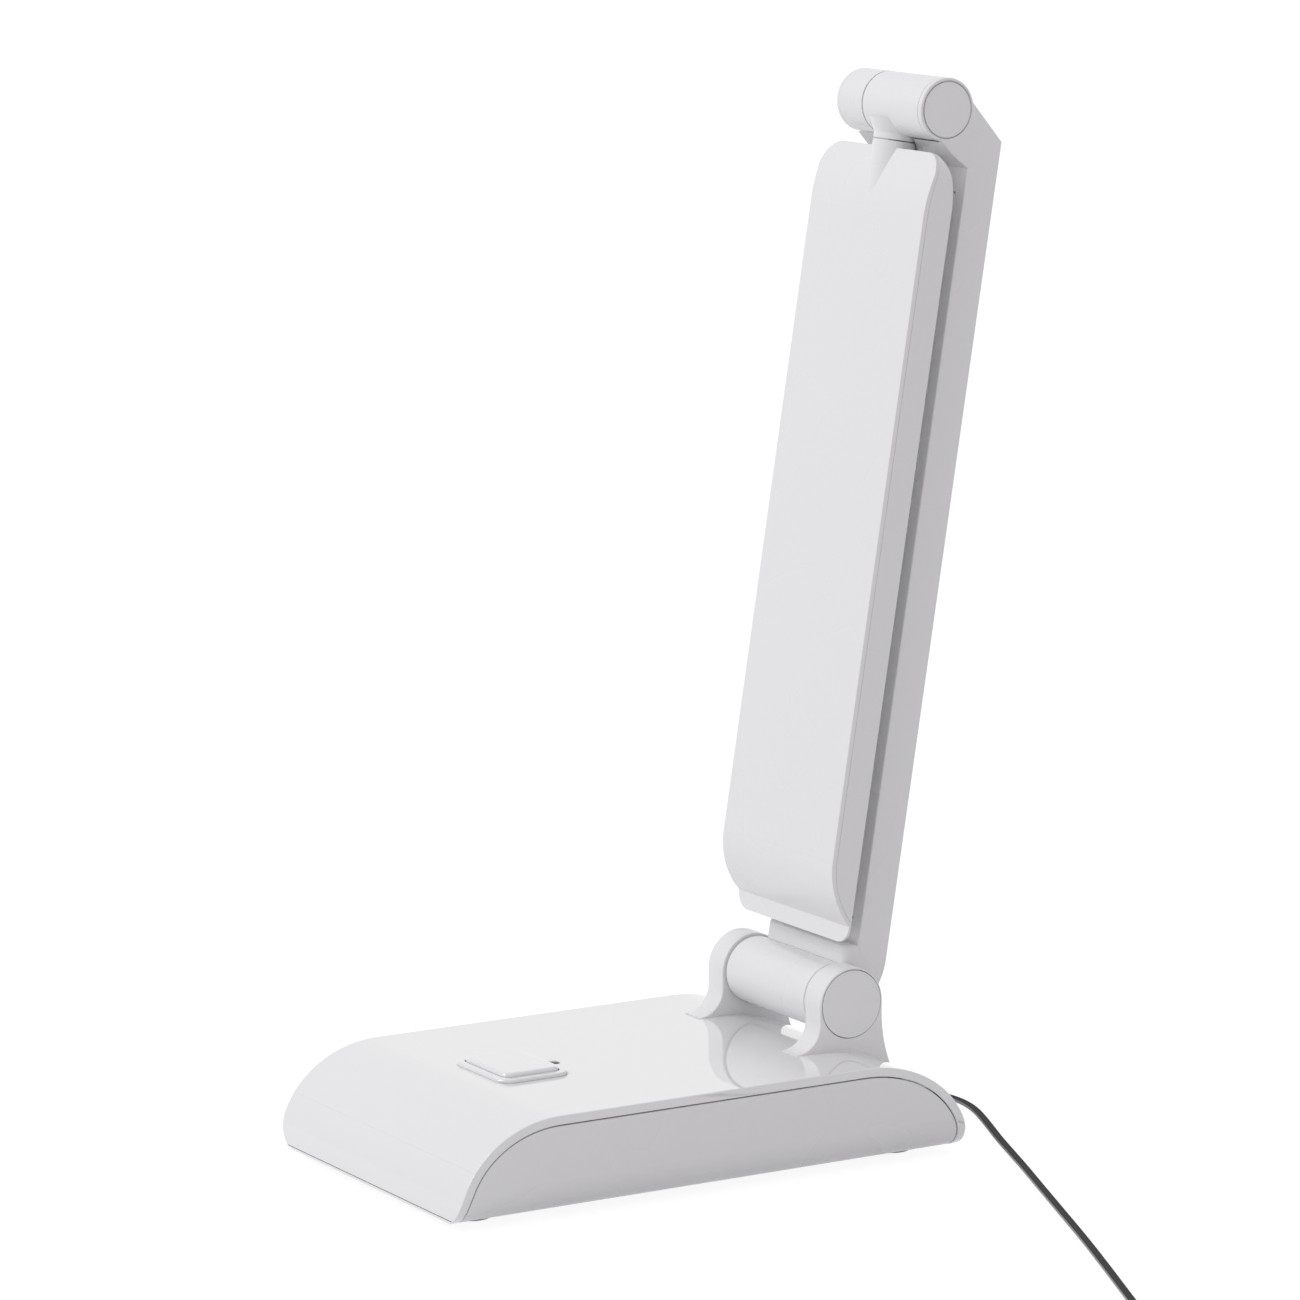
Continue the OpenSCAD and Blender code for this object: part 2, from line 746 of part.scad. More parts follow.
// Top barrel of the head, with a round stub that carries the neck
pin_d = 4.4;
pin_up = 5;
pin_z0 = head_z1 - 11;
stub_top = top_t - top_r * 0.5;
module head_barrel() {
    flare_z = seam_z + 2.2;
    color("white") leaned() difference() {
        union() {
            at_top_hinge() rod_x(tube_x0, tube_x1, top_r);
            translate([0, neck_axis, seam_z + 0.25]) cylinder(h = stub_top - seam_z - 0.25, d = neck_d);
            translate([0, neck_axis, flare_z])
                cylinder(h = stub_top - flare_z, d1 = neck_d, d2 = neck_d + 4.4);
        }
        at_top_hinge() rod_x(-arm_w, arm_w, top_shaft_d / 2 + turn_play);
        translate([0, neck_axis, seam_z - past]) cylinder(h = pin_up + past, d = pin_d + 2 * fixed_play);
    }
}

module swivel_pin() {
    color("silver") leaned() translate([0, neck_axis, pin_z0])
        cylinder(h = seam_z + pin_up - pin_z0 - 0.1, d = pin_d);
}

// The neck is round. It runs out on the head's curved front in a pointed tongue, and slopes
// into its back.
module head_neck() {
    z0 = head_z1 - top_run;
    back = head_back - 1;
    slope_z = head_z1 - 13;
    rear_z = head_z1 - 3;
    color("white") leaned() difference() {
        translate([0, neck_axis, z0]) cylinder(h = seam_z - z0, d = neck_d);
        head_block(0);
        along_x(-neck_d, neck_d) polygon([[back, z0 - past], [back, slope_z],
            [neck_axis + neck_d / 2, rear_z], [arm_w, rear_z], [arm_w, z0 - past]]);
        translate([0, neck_axis, z0 - past]) cylinder(h = 3 * top_run, d = pin_d + 2 * turn_play);
    }
}

// Route of the free cord, from the grommet over the table to the coil
route = [[-28, 92.5, 8.8], [-28, 95.5, 8.2], [-27.5, 99, 6.4], [-25.5, 103.5, 4], [-21.5, 108, 2],
    [-15.5, 111.8, 1], [-8, 114.2, 0.8], [0, 115, 0.8], [8, 114, 0.8], [16, 111.7, 0.8],
    [25, 108.2, 0.8], [35, 104, 0.8], [50, 97.6, 0.8], [66, 91.2, 0.8], [82, 84.8, 0.8],
    [98, 78.2, 0.8], [115, 71.2, 0.8], [133, 63.8, 0.8], [163, 51.4, 0.8], [190, 39.8, 0.8],
    [223, 25.4, 0.8], [245, 16, 1], [270, 5.4, 1.4]];
cord_sides = 8;

function unit(v) = v / norm(v);
function side_of(d) = unit([-d[1], d[0], 0]);
function ring_at(p, d, w, t, n) = let (s = side_of(d), u = cross(s, unit(d)),
    wide = w / 2 / cos(180 / n), thick = n % 4 == 0 ? t / 2 / cos(180 / n) : t / 2)
    [for (i = [0 : n - 1]) let (a = 360 * (i + 0.5) / n) p + s * cos(a) * wide + u * sin(a) * thick];

// A point on a smooth curve through the route, k in whole steps with f between them
function curve(pts, k, f) = let (n = len(pts) - 1, a = pts[max(k - 1, 0)], b = pts[k],
    c = pts[min(k + 1, n)], d = pts[min(k + 2, n)])
    0.5 * (2 * b + (c - a) * f + (2 * a - 5 * b + 4 * c - d) * f * f
        + (3 * b - a - 3 * c + d) * f * f * f);

module swept(path, dirs, w, t, n) {
    count = len(path);
    points = [for (i = [0 : count - 1]) each ring_at(path[i], dirs[i], w, t, n)];
    walls = [for (i = [0 : count - 2], j = [0 : n - 1]) each
        [[i * n + j, (i + 1) * n + j, (i + 1) * n + (j + 1) % n],
        [i * n + j, (i + 1) * n + (j + 1) % n, i * n + (j + 1) % n]]];
    first = [for (j = [1 : n - 2]) [0, j, j + 1]];
    last = [for (j = [1 : n - 2]) [(count - 1) * n, (count - 1) * n + j + 1, (count - 1) * n + j]];
    polyhedron(points = points, faces = concat(walls, first, last), convexity = 10);
}

cord_line = [[exit_x, cord_start, exit_z], for (k = [0 : len(route) - 2])
    for (f = [0, 0.34, 0.67]) curve(route, k, f), route[len(route) - 1]];
function directions(path) = [for (i = [0 : len(path) - 1])
    unit(path[min(i + 1, len(path) - 1)] - path[max(i - 1, 0)])];

module cord_tube() {
    dirs = directions(cord_line);
    color("dimgray") swept(cord_line, [[0, 1, 0], for (i = [1 : len(dirs) - 1]) dirs[i]],
        cord_w, cord_t, cord_sides);
}

// The coil: four layers that wind in, out, in and out again
coil_pitch = 3.3;
coil_step = 2;
coil_layers = 4;
coil_sides = 6;
coil_rings = 24;
coil_mid = 16.4;
layer_turn = coil_turns * 360;
coil_out = coil_mid + coil_turns * coil_pitch / 2;
coil_in = coil_mid - coil_turns * coil_pitch / 2;
tie_t = 0.6;
entry = route[len(route) - 1];
coil_z = entry[2];
entry_dir = unit(entry - route[len(route) - 2]);
entry_ang = atan2(entry_dir[1], entry_dir[0]);
coil_start = entry_ang + 90;
straight = cord_w;
coil_c = [entry[0] + entry_dir[0] * straight - coil_out * cos(coil_start),
    entry[1] + entry_dir[1] * straight - coil_out * sin(coil_start), 0];

function climb(s) = let (j = round(s / layer_turn), x = (s - j * layer_turn) / 180 + 0.5)
    s < layer_turn / 2 || s > (coil_layers - 0.5) * layer_turn ? floor(s / layer_turn)
    : x <= 0 ? j - 1 : x >= 1 ? j : j - 1 + x * x * (3 - 2 * x);
function coil_r(s) = let (j = floor(s / layer_turn), u = s - j * layer_turn)
    (j % 2 == 0) ? coil_out - coil_pitch * u / 360 : coil_in + coil_pitch * u / 360;
function coil_at(s) = let (a = coil_start - s, e = min(s, coil_layers * layer_turn - 0.001))
    [coil_c[0] + coil_r(e) * cos(a), coil_c[1] + coil_r(e) * sin(a), coil_z + coil_step * climb(e)];
coil_end = coil_layers * layer_turn;
coil_path = concat([entry], [for (s = [0 : 360 / coil_rings : coil_end]) coil_at(s)],
    [coil_at(coil_end) + straight * unit([sin(coil_start - coil_end), -cos(coil_start - coil_end), 0])]);

// Least gap between turns, taken as the space between the flat sections of two passes
function pass_gap(p, q) = let (dr = abs(norm([p[0] - coil_c[0], p[1] - coil_c[1]])
    - norm([q[0] - coil_c[0], q[1] - coil_c[1]])), dz = abs(p[2] - q[2]),
    gr = max(0, dr - cord_w), gz = max(0, dz - cord_t)) sqrt(gr * gr + gz * gz);
least_gap = min([for (s = [0 : 15 : coil_end - 360]) for (k = [1 : floor((coil_end - s) / 360)])
    pass_gap(coil_at(s), coil_at(s + 360 * k))]);
echo("least gap between the coil's turns", least_gap);
echo("coil length", coil_end * PI / 180 * coil_mid);

module cord_coil() {
    inner = directions(coil_path);
    dirs = [entry_dir, for (i = [1 : len(inner) - 1]) inner[i]];
    color("dimgray") swept(coil_path, dirs, cord_w, cord_t, coil_sides);
}

module coil_tie() {
    room = 0.3;
    side_room = 1.2;
    tie_w = 3;
    r0 = coil_in - cord_w / 2 - side_room;
    r1 = coil_out + cord_w / 2 + side_room;
    top = coil_z + coil_step * (coil_layers - 1) + cord_t / 2 + room;
    color("dimgray") translate(coil_c) rotate([0, 0, coil_start - 200]) translate([0, tie_w / 2, 0])
        rotate([90, 0, 0]) linear_extrude(tie_w) difference() {
            translate([r0, 0]) square([r1 - r0, top + tie_t]);
            translate([r0 + tie_t, tie_t]) square([r1 - r0 - 2 * tie_t, top - tie_t]);
        }
}

// The cord's tail runs from the coil down to the plug, which lies beside it
tail_l = 16;
tail_rings = 7;
relief_l = 9;
relief_d = 5;
tail_start = coil_path[len(coil_path) - 1];
tail_dir = unit([sin(coil_start - coil_end), -cos(coil_start - coil_end), 0]);
plug_z = plug_h / 2;
tail_line = [for (i = [0 : tail_rings - 1]) let (f = i / (tail_rings - 1))
    tail_start + tail_dir * tail_l * f - [0, 0, (tail_start[2] - plug_z) * f * f * (3 - 2 * f)]];

module cord_tail() {
    inner = directions(tail_line);
    dirs = [tail_dir, for (i = [1 : tail_rings - 2]) inner[i], tail_dir];
    color("dimgray") swept(tail_line, dirs, cord_w, cord_t, coil_sides);
}

module at_plug() {
    translate(tail_line[tail_rings - 1]) rotate([0, 0, atan2(tail_dir[1], tail_dir[0])]) children();
}

module plug_body() {
    color("black") at_plug() {
        rotate([0, 90, 0]) cylinder(h = relief_l, d1 = relief_d - 1, d2 = relief_d);
        translate([relief_l, 0, 0]) rotate([90, 0, 90]) linear_extrude(plug_l)
            rounded_rect(plug_w, plug_h, 2);
    }
}

shell_w = 12;
shell_h = 4.5;
shell_l = 12;
shell_wall = 0.3;
module plug_shell() {
    wall = shell_wall;
    color("silver") at_plug() translate([relief_l + plug_l, 0, 0]) difference() {
        translate([0, -shell_w / 2, -shell_h / 2]) cube([shell_l, shell_w, shell_h]);
        translate([0, -shell_w / 2 + wall, -shell_h / 2 + wall])
            cube([shell_l + past, shell_w - 2 * wall, shell_h - 2 * wall]);
    }
}

module plug_tongue() {
    w = shell_w - 2 * shell_wall - 0.2;
    t = shell_h / 2 - shell_wall - 0.05;
    color("white") at_plug() translate([relief_l + plug_l, -w / 2, -t])
        cube([shell_l - 2 * shell_wall, w, t]);
}

base_cover();
side_panel_right();
side_panel_left();
base_bottom();
ballast_plate();
rubber_feet();
base_screws();
control_board();
switch_body();
indicator_lamp();
indicator_lens();
button_frame();
cord_grommet();
hinge_ear_right();
hinge_ear_left();
ear_cap_right();
ear_cap_left();
hinge_shaft();
hinge_washers();
button_cap();
switch_plunger();
arm_shell();
arm_cover();
arm_barrel();
arm_stiffener();
arm_wire();
top_shaft();
top_cap_right();
top_cap_left();
head_barrel();
swivel_pin();
head_neck();
head_shell();
head_frame();
diffuser();
led_board();
leds();
cord_tube();
cord_coil();
cord_tail();
coil_tie();
plug_body();
plug_shell();
plug_tongue();
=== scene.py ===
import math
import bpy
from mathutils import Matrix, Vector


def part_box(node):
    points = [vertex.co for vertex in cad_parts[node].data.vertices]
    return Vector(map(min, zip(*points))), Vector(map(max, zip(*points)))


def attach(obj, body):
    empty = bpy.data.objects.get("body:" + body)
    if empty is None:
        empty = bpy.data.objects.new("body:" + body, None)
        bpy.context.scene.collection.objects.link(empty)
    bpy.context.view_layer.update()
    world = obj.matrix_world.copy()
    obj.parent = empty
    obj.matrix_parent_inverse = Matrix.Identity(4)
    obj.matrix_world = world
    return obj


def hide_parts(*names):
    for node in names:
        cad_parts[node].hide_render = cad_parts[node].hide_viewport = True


bl_info = {
    "name": "Folding desk lamp",
    "version": (1, 0, 0),
    "blender": (4, 5, 0),
    "location": "3D View > Sidebar > Lamp",
    "description": "Builds a folding desk lamp round its packed model",
    "category": "Object",
}

import bmesh
import bpy
from bpy.props import FloatProperty, FloatVectorProperty, PointerProperty
from mathutils import Vector

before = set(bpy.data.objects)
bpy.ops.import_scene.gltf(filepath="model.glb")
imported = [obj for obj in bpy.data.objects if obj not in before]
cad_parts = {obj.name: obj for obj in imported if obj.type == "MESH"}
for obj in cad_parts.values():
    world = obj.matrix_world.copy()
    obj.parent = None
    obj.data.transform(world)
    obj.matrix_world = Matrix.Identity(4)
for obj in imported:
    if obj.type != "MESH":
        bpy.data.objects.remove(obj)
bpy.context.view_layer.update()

MM = 0.001


def middle(node):
    low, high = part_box(node)
    return (Vector(low) + Vector(high)) / 2


# Places that the frame gives: the base's ends, its top, and what stands on it
COVER_LOW, COVER_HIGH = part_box("base_cover")
FRONT_Y, REAR_Y = COVER_LOW[1], COVER_HIGH[1]
UNDER_Z, TOP_Z = COVER_LOW[2], COVER_HIGH[2]
HINGE = middle("hinge_shaft")
BUTTON = middle("button_frame")
LENS = middle("indicator_lens")
GROMMET_LOW, GROMMET_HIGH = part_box("cord_grommet")


def size_property(name, description, millimetres):
    return FloatProperty(
        name=name, description=description, default=millimetres * MM, unit="LENGTH"
    )


def colour_property(name, description, value):
    return FloatVectorProperty(
        name=name, description=description, default=value, subtype="COLOR"
    )


class LampSizes(bpy.types.PropertyGroup):
    """Sizes of the lamp that a user may change"""

    base_width: size_property("Base width", "Width of the base's top", 120)
    foot_width: size_property("Foot width", "Width of the base's underside", 100)
    front_run: size_property("Front curve", "Length of the base's front curve", 36)
    rear_run: size_property("Rear curve", "Length of the base's rear curve", 40)
    cover_wall: size_property("Cover wall", "Thickness of the base's cover", 3)
    button_width: size_property("Button width", "Width of the push button", 28)
    button_length: size_property("Button length", "Length of the push button", 20.6)
    arm_lean: FloatProperty(
        name="Arm lean",
        description="Lean of the arm behind upright",
        default=math.radians(9.1),
        subtype="ANGLE",
        unit="ROTATION",
    )
    arm_width: size_property("Arm width", "Width of the arm", 50)
    arm_length: size_property("Arm length", "Distance between the two hinge axes", 291.3)
    head_width: size_property("Head width", "Width of the head", 67.6)
    edge: size_property("Edge rounding", "Radius of the moulded pieces' edges", 0.45)
    cord_width: size_property("Cord width", "Width of the flat cord", 2.8)
    cord_thick: size_property("Cord thickness", "Thickness of the cord", 1.5)


class LampFinishes(bpy.types.PropertyGroup):
    """Colours of the lamp's finishes"""

    shell: colour_property("White plastic", "Colour of the housings", (0.80, 0.797, 0.81))
    jacket: colour_property("Cord jacket", "Colour of the cord", (0.02, 0.02, 0.021))
    # Painted highlight: a lighter colour along the outer edge of one core of the cord, standing in
    # for the light that catches it
    mark: colour_property(
        "Cord mark", "Colour of the mark along one core of the cord", (0.32, 0.32, 0.33)
    )
    lens: colour_property("Indicator", "Colour of the dark lens", (0.012, 0.012, 0.014))


def sizes():
    return bpy.context.scene.lamp_sizes


def finishes():
    return bpy.context.scene.lamp_finishes


# Outlines


def arc(cx, cy, rx, ry, start, end, steps):
    """Points on an ellipse round cx, cy, from one angle to another in degrees."""
    turns = [math.radians(start + (end - start) * i / steps) for i in range(steps + 1)]
    return [(cx + rx * math.cos(a), cy + ry * math.sin(a)) for a in turns]


LIP = 1.6 * MM
SIDE_ROUND = 11.5 * MM
# How far cutting tools reach past what they cut
PAST = 5 * MM
FAR = 9 * MM
# Half widths of tools that reach past both sides of the base
WIDE = 70 * MM
WIDER = 80 * MM


def base_side_view():
    """The base seen from the side, as y and z."""
    s = sizes()
    z = UNDER_Z + LIP
    rise = TOP_Z - z
    return (
        arc(FRONT_Y + LIP, z, LIP, LIP, 270, 180, 6)
        + arc(FRONT_Y + s.front_run, z, s.front_run, rise, 180, 90, 28)[1:]
        + arc(REAR_Y - s.rear_run, z, s.rear_run, rise, 90, 0, 28)
        + arc(REAR_Y - LIP, z, LIP, LIP, 0, -90, 6)[1:]
    )


def base_hollow(inset):
    """The same view drawn in by a distance, and open towards the table."""
    s = sizes()
    z = UNDER_Z + LIP
    rise = TOP_Z - z - inset
    return (
        [(FRONT_Y + inset, UNDER_Z - PAST)]
        + arc(FRONT_Y + s.front_run, z, s.front_run - inset, rise, 180, 90, 28)
        + arc(REAR_Y - s.rear_run, z, s.rear_run - inset, rise, 90, 0, 28)
        + [(REAR_Y - inset, UNDER_Z - PAST)]
    )


def base_front_view(inset):
    """The base seen from the front, as x and z, open at the top."""
    s = sizes()
    half = s.base_width / 2 - inset
    foot = s.foot_width / 2
    right = arc(foot, UNDER_Z + SIDE_ROUND, half - foot, SIDE_ROUND - inset, 0, -90, 16)
    left = [(-x, z) for x, z in reversed(right)]
    return [(half, TOP_Z + PAST)] + right + left + [(-half, TOP_Z + PAST)]


# Modelling steps, as they are done by hand


def start():
    """Goes to object mode and deselects everything, because the frame's nodes come in selected."""
    obj = bpy.context.object
    if obj and obj.mode != "OBJECT":
        bpy.ops.object.mode_set(mode="OBJECT")
    bpy.ops.object.select_all(action="DESELECT")


def hold(obj):
    start()
    obj.select_set(True)
    bpy.context.view_layer.objects.active = obj


def apply_place():
    """Puts an object's place, turn and scale into its mesh."""
    bpy.ops.object.transform_apply(location=True, rotation=True, scale=True)


def settle(name):
    """Names the new primitive and puts its place into its mesh."""
    obj = bpy.context.object
    obj.name = name
    obj.data.name = name
    apply_place()
    return obj


def block(name, low, high):
    low, high = Vector(low), Vector(high)
    start()
    bpy.ops.mesh.primitive_cube_add(size=1, location=(low + high) / 2, scale=high - low)
    return settle(name)


def rod(name, low, high, radius, sides=96, top_radius=None):
    """A round rod from one point to another, or a cone where it has a second radius."""
    low, high = Vector(low), Vector(high)
    axis = high - low
    turn = axis.to_track_quat("Z", "Y").to_euler()
    start()
    bpy.ops.mesh.primitive_cone_add(
        vertices=sides,
        radius1=radius,
        radius2=radius if top_radius is None else top_radius,
        depth=axis.length,
        location=(low + high) / 2,
        rotation=turn,
    )
    return settle(name)


def spread(plane, a, b):
    """A move of a and b in the plane of an outline, as x, y and z."""
    return {"yz": (0, a, b), "xz": (a, 0, b), "xy": (a, b, 0)}[plane]


def first_point(name, place):
    """Starts a mesh as one point, left selected in edit mode."""
    start()
    bpy.ops.mesh.primitive_plane_add(size=MM, location=place)
    obj = settle(name)
    bpy.ops.object.mode_set(mode="EDIT")
    bpy.ops.mesh.select_all(action="SELECT")
    bpy.ops.mesh.merge(type="CENTER")
    return obj


def point_outwards():
    """Turns all faces of the piece in edit mode outwards, and leaves edit mode."""
    bpy.ops.mesh.select_all(action="SELECT")
    bpy.ops.mesh.normals_make_consistent(inside=False)
    bpy.ops.object.mode_set(mode="OBJECT")


def traced(name, plane, points, near, far):
    """Draws an outline point by point, fills it and pulls it out into a solid."""
    across = {"yz": 0, "xz": 1, "xy": 2}[plane]
    place = Vector(spread(plane, *points[0]))
    place[across] = near
    obj = first_point(name, place)
    for p, q in zip(points, points[1:]):
        step = spread(plane, q[0] - p[0], q[1] - p[1])
        bpy.ops.mesh.extrude_vertices_move(TRANSFORM_OT_translate={"value": step})
    bpy.ops.mesh.select_all(action="SELECT")
    bpy.ops.mesh.edge_face_add()
    pull = [0, 0, 0]
    pull[across] = far - near
    bpy.ops.mesh.extrude_region_move(TRANSFORM_OT_translate={"value": pull})
    point_outwards()
    return obj


def turned(name, place, profile, axis="x", sides=96):
    """Spins a profile, as distance along the axis and radius, round that axis."""
    along = Vector({"x": (1, 0, 0), "y": (0, 1, 0), "z": (0, 0, 1)}[axis])
    out = Vector((0, 1, 0)) if axis == "z" else Vector((0, 0, 1))
    spots = [Vector(place) + along * a + out * r for a, r in profile]
    obj = first_point(name, spots[0])
    for p, q in zip(spots, spots[1:]):
        bpy.ops.mesh.extrude_vertices_move(TRANSFORM_OT_translate={"value": q - p})
    bpy.ops.mesh.select_all(action="SELECT")
    bpy.ops.mesh.spin(steps=sides, angle=math.tau, center=Vector(place), axis=along)
    bpy.ops.mesh.select_all(action="SELECT")
    bpy.ops.mesh.remove_doubles(threshold=0.002 * MM)
    point_outwards()
    return obj


def runs_along(axis):
    """A test for edges that run along an axis: 0 for x, 1 for y and 2 for z."""
    return lambda a, b: abs(a[axis] - b[axis]) > MM / 2


def lies_across(axis):
    """A test for edges that lie square to an axis."""
    return lambda a, b: abs(a[axis] - b[axis]) < MM / 9


def lies_over(axis, level):
    """A test for edges that lie on or past a level on an axis."""
    return lambda a, b: min(a[axis], b[axis]) > level - 0.1 * MM


def bevel_where(obj, test, width, segments=6, profile=0.5):
    """Rounds the edges whose two ends pass a test."""
    hold(obj)
    bpy.ops.object.mode_set(mode="EDIT")
    bpy.ops.mesh.select_mode(type="EDGE")
    bpy.ops.mesh.select_all(action="DESELECT")
    mesh = bmesh.from_edit_mesh(obj.data)
    for edge in mesh.edges:
        if test(edge.verts[0].co, edge.verts[1].co):
            edge.select_set(True)
    bmesh.update_edit_mesh(obj.data)
    bpy.ops.mesh.bevel(
        offset=width, segments=segments, profile=profile, affect="EDGES", clamp_overlap=False
    )
    bpy.ops.mesh.select_mode(type="VERT")
    bpy.ops.object.mode_set(mode="OBJECT")


def join_cut(obj, tool, how="DIFFERENCE"):
    """Cuts, joins or trims a piece by another, which is used up."""
    hold(obj)
    mod = obj.modifiers.new("Shape", "BOOLEAN")
    mod.operation = how
    mod.solver = "EXACT"
    mod.object = tool
    bpy.ops.object.modifier_apply(modifier=mod.name)
    mesh = tool.data
    bpy.data.objects.remove(tool)
    bpy.data.meshes.remove(mesh)


# Faces that meet at less than the first angle count as one face, edges sharper than the second
# are rounded, and edges sharper than the third stay sharp in the shading
FLAT_ANGLE = math.radians(0.5)
ROUND_ANGLE = math.radians(35)
SMOOTH_ANGLE = math.radians(30)


def soften(obj, width, merge=0.2 * MM):
    """Rounds the sharp edges, where a width is given, and shades the piece smooth."""
    hold(obj)
    if width:
        bpy.ops.object.mode_set(mode="EDIT")
        bpy.ops.mesh.select_all(action="SELECT")
        bpy.ops.mesh.remove_doubles(threshold=merge)
        bpy.ops.mesh.dissolve_limited(angle_limit=FLAT_ANGLE)
        point_outwards()
        mod = obj.modifiers.new("Edges", "BEVEL")
        mod.width = width
        mod.segments = 3
        mod.limit_method = "ANGLE"
        mod.angle_limit = ROUND_ANGLE
        mod.use_clamp_overlap = False
        bpy.ops.object.modifier_apply(modifier=mod.name)
    bpy.ops.object.shade_smooth_by_angle(angle=SMOOTH_ANGLE)
    mod = obj.modifiers.new("Shading", "WEIGHTED_NORMAL")
    mod.keep_sharp = True
    mod.weight = 80
    bpy.ops.object.modifier_apply(modifier=mod.name)


def lean_back(obj):
    """Puts a piece that was drawn upright, from the base hinge, into its leaning place."""
    hold(obj)
    obj.rotation_euler = (-sizes().arm_lean, 0, 0)
    obj.location = HINGE
    apply_place()


def mirrored(obj, name):
    """A copy on the lamp's other side, with a mesh of its own."""
    hold(obj)
    bpy.ops.object.duplicate()
    twin = bpy.context.object
    twin.name = name
    twin.data.name = name
    twin.scale.x = -1
    apply_place()
    bpy.ops.object.mode_set(mode="EDIT")
    point_outwards()
    return twin


def place_piece(obj, body, material, slot, *nodes):
    """Gives a finished piece its material and body, and lets it stand for CAD nodes."""
    obj.data.materials.clear()
    obj.data.materials.append(material)
    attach(obj, body)
    if nodes:
        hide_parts(*nodes)


def place_satin(obj, body, node):
    place_piece(obj, body, satin_white(), "white_satin", node)


def place_leaning(obj, body, node):
    """Shades a satin piece that was drawn upright, leans it back and places it."""
    soften(obj, 0)
    lean_back(obj)
    place_satin(obj, body, node)


# Finishes


def feed(tree, node, values):
    """Sets a node's inputs: an output is linked, and anything else is the input's value."""
    for key, value in values.items():
        if isinstance(value, bpy.types.NodeSocket):
            tree.links.new(value, node.inputs[key])
        else:
            node.inputs[key].default_value = value
    return node


def add(tree, kind, values):
    return feed(tree, tree.nodes.new(kind), values)


def finish_named(name):
    """A new material, its node tree, its shader and its Object coordinates."""
    mat = bpy.data.materials.new(name)
    mat.use_nodes = True
    tree = mat.node_tree
    coords = tree.nodes.new("ShaderNodeTexCoord")
    return mat, tree, tree.nodes["Principled BSDF"], coords.outputs["Object"]


def grain(tree, coords, scale, detail=2.0):
    noise = add(tree, "ShaderNodeTexNoise", {"Vector": coords, "Scale": scale, "Detail": detail})
    return noise.outputs["Fac"]


def between(tree, factor, low, high):
    """A value that runs smoothly from low to high over a grain's usual range."""
    limits = {"From Min": 0.15, "From Max": 0.85, "To Min": low, "To Max": high}
    node = add(tree, "ShaderNodeMapRange", {"Value": factor, **limits})
    node.interpolation_type = "SMOOTHSTEP"
    return node.outputs["Result"]


# A Mix node's sockets for colours, whose names its other sockets have too
MIX_FACTOR, MIX_FIRST, MIX_SECOND = 0, 6, 7
MIX_RESULT = 2


def blend_colours(tree, factor, first, second):
    node = tree.nodes.new("ShaderNodeMix")
    node.data_type = "RGBA"
    feed(tree, node, {MIX_FACTOR: factor, MIX_FIRST: (*first, 1), MIX_SECOND: (*second, 1)})
    return node.outputs[MIX_RESULT]


def raise_surface(tree, shader, heights):
    """Chains bumps, each given as a height, its distance and its strength."""
    last = None
    for height, distance, strength in heights:
        values = {"Strength": strength, "Distance": distance, "Height": height}
        bump = add(tree, "ShaderNodeBump", values)
        if last:
            feed(tree, bump, {"Normal": last})
        last = bump.outputs["Normal"]
    feed(tree, shader, {"Normal": last})


PLASTIC_IOR = 1.49
COAT_IOR = 1.7
COAT_ROUGHNESS = 0.015


def moulded(name, colour, rough, gloss_spread=0.03, tint=0.008, peel=0.02, waves=0.008, coat=0.0):
    """Moulded plastic: a faint drift of colour, uneven gloss and the mould's fine texture."""
    mat, tree, shader, coords = finish_named(name)
    drift = grain(tree, coords, 14, 1)
    darker = [max(0, c * (1 - tint)) for c in colour]
    lighter = [min(1, c * (1 + tint * 0.5)) for c in colour]
    handled = grain(tree, coords, 30, 1)
    values = {
        "Base Color": blend_colours(tree, drift, darker, lighter),
        "Roughness": between(tree, handled, rough - gloss_spread, rough + gloss_spread),
        "IOR": PLASTIC_IOR,
        "Coat Weight": coat,
        "Coat Roughness": COAT_ROUGHNESS,
        "Coat IOR": COAT_IOR,
    }
    feed(tree, shader, values)
    fine = grain(tree, coords, 1600, 2)
    slow = grain(tree, coords, 40, 0)
    raise_surface(tree, shader, [(slow, 0.0006, waves), (fine, 0.00003, peel)])
    return mat


def metal(name, colour, rough):
    """Drawn metal: fine lines along x and a rough-ground surface."""
    mat, tree, shader, coords = finish_named(name)
    stretch = add(tree, "ShaderNodeMapping", {"Vector": coords, "Scale": (60, 2400, 2400)})
    lines = grain(tree, stretch.outputs["Vector"], 1, 2)
    spots = grain(tree, coords, 140, 3)
    darker = [c * 0.85 for c in colour]
    values = {
        "Base Color": blend_colours(tree, spots, darker, colour),
        "Roughness": between(tree, lines, rough * 0.7, rough * 1.3),
        "Metallic": 1,
    }
    feed(tree, shader, values)
    raise_surface(tree, shader, [(lines, 0.00002, 0.3)])
    return mat


def soft_rubber(name, colour, rough=0.6):
    """Rubber and cord jackets: matt, with a fine pebbled skin."""
    mat, tree, shader, coords = finish_named(name)
    pebbles = grain(tree, coords, 2600, 1)
    dust = grain(tree, coords, 90, 4)
    lighter = [min(1, c * 1.35 + 0.01) for c in colour]
    values = {
        "Base Color": blend_colours(tree, dust, colour, lighter),
        "Roughness": between(tree, dust, rough - 0.08, rough + 0.08),
    }
    feed(tree, shader, values)
    raise_surface(tree, shader, [(pebbles, 0.00005, 0.4)])
    return mat


def grey(value):
    return (value, value, value, 1)


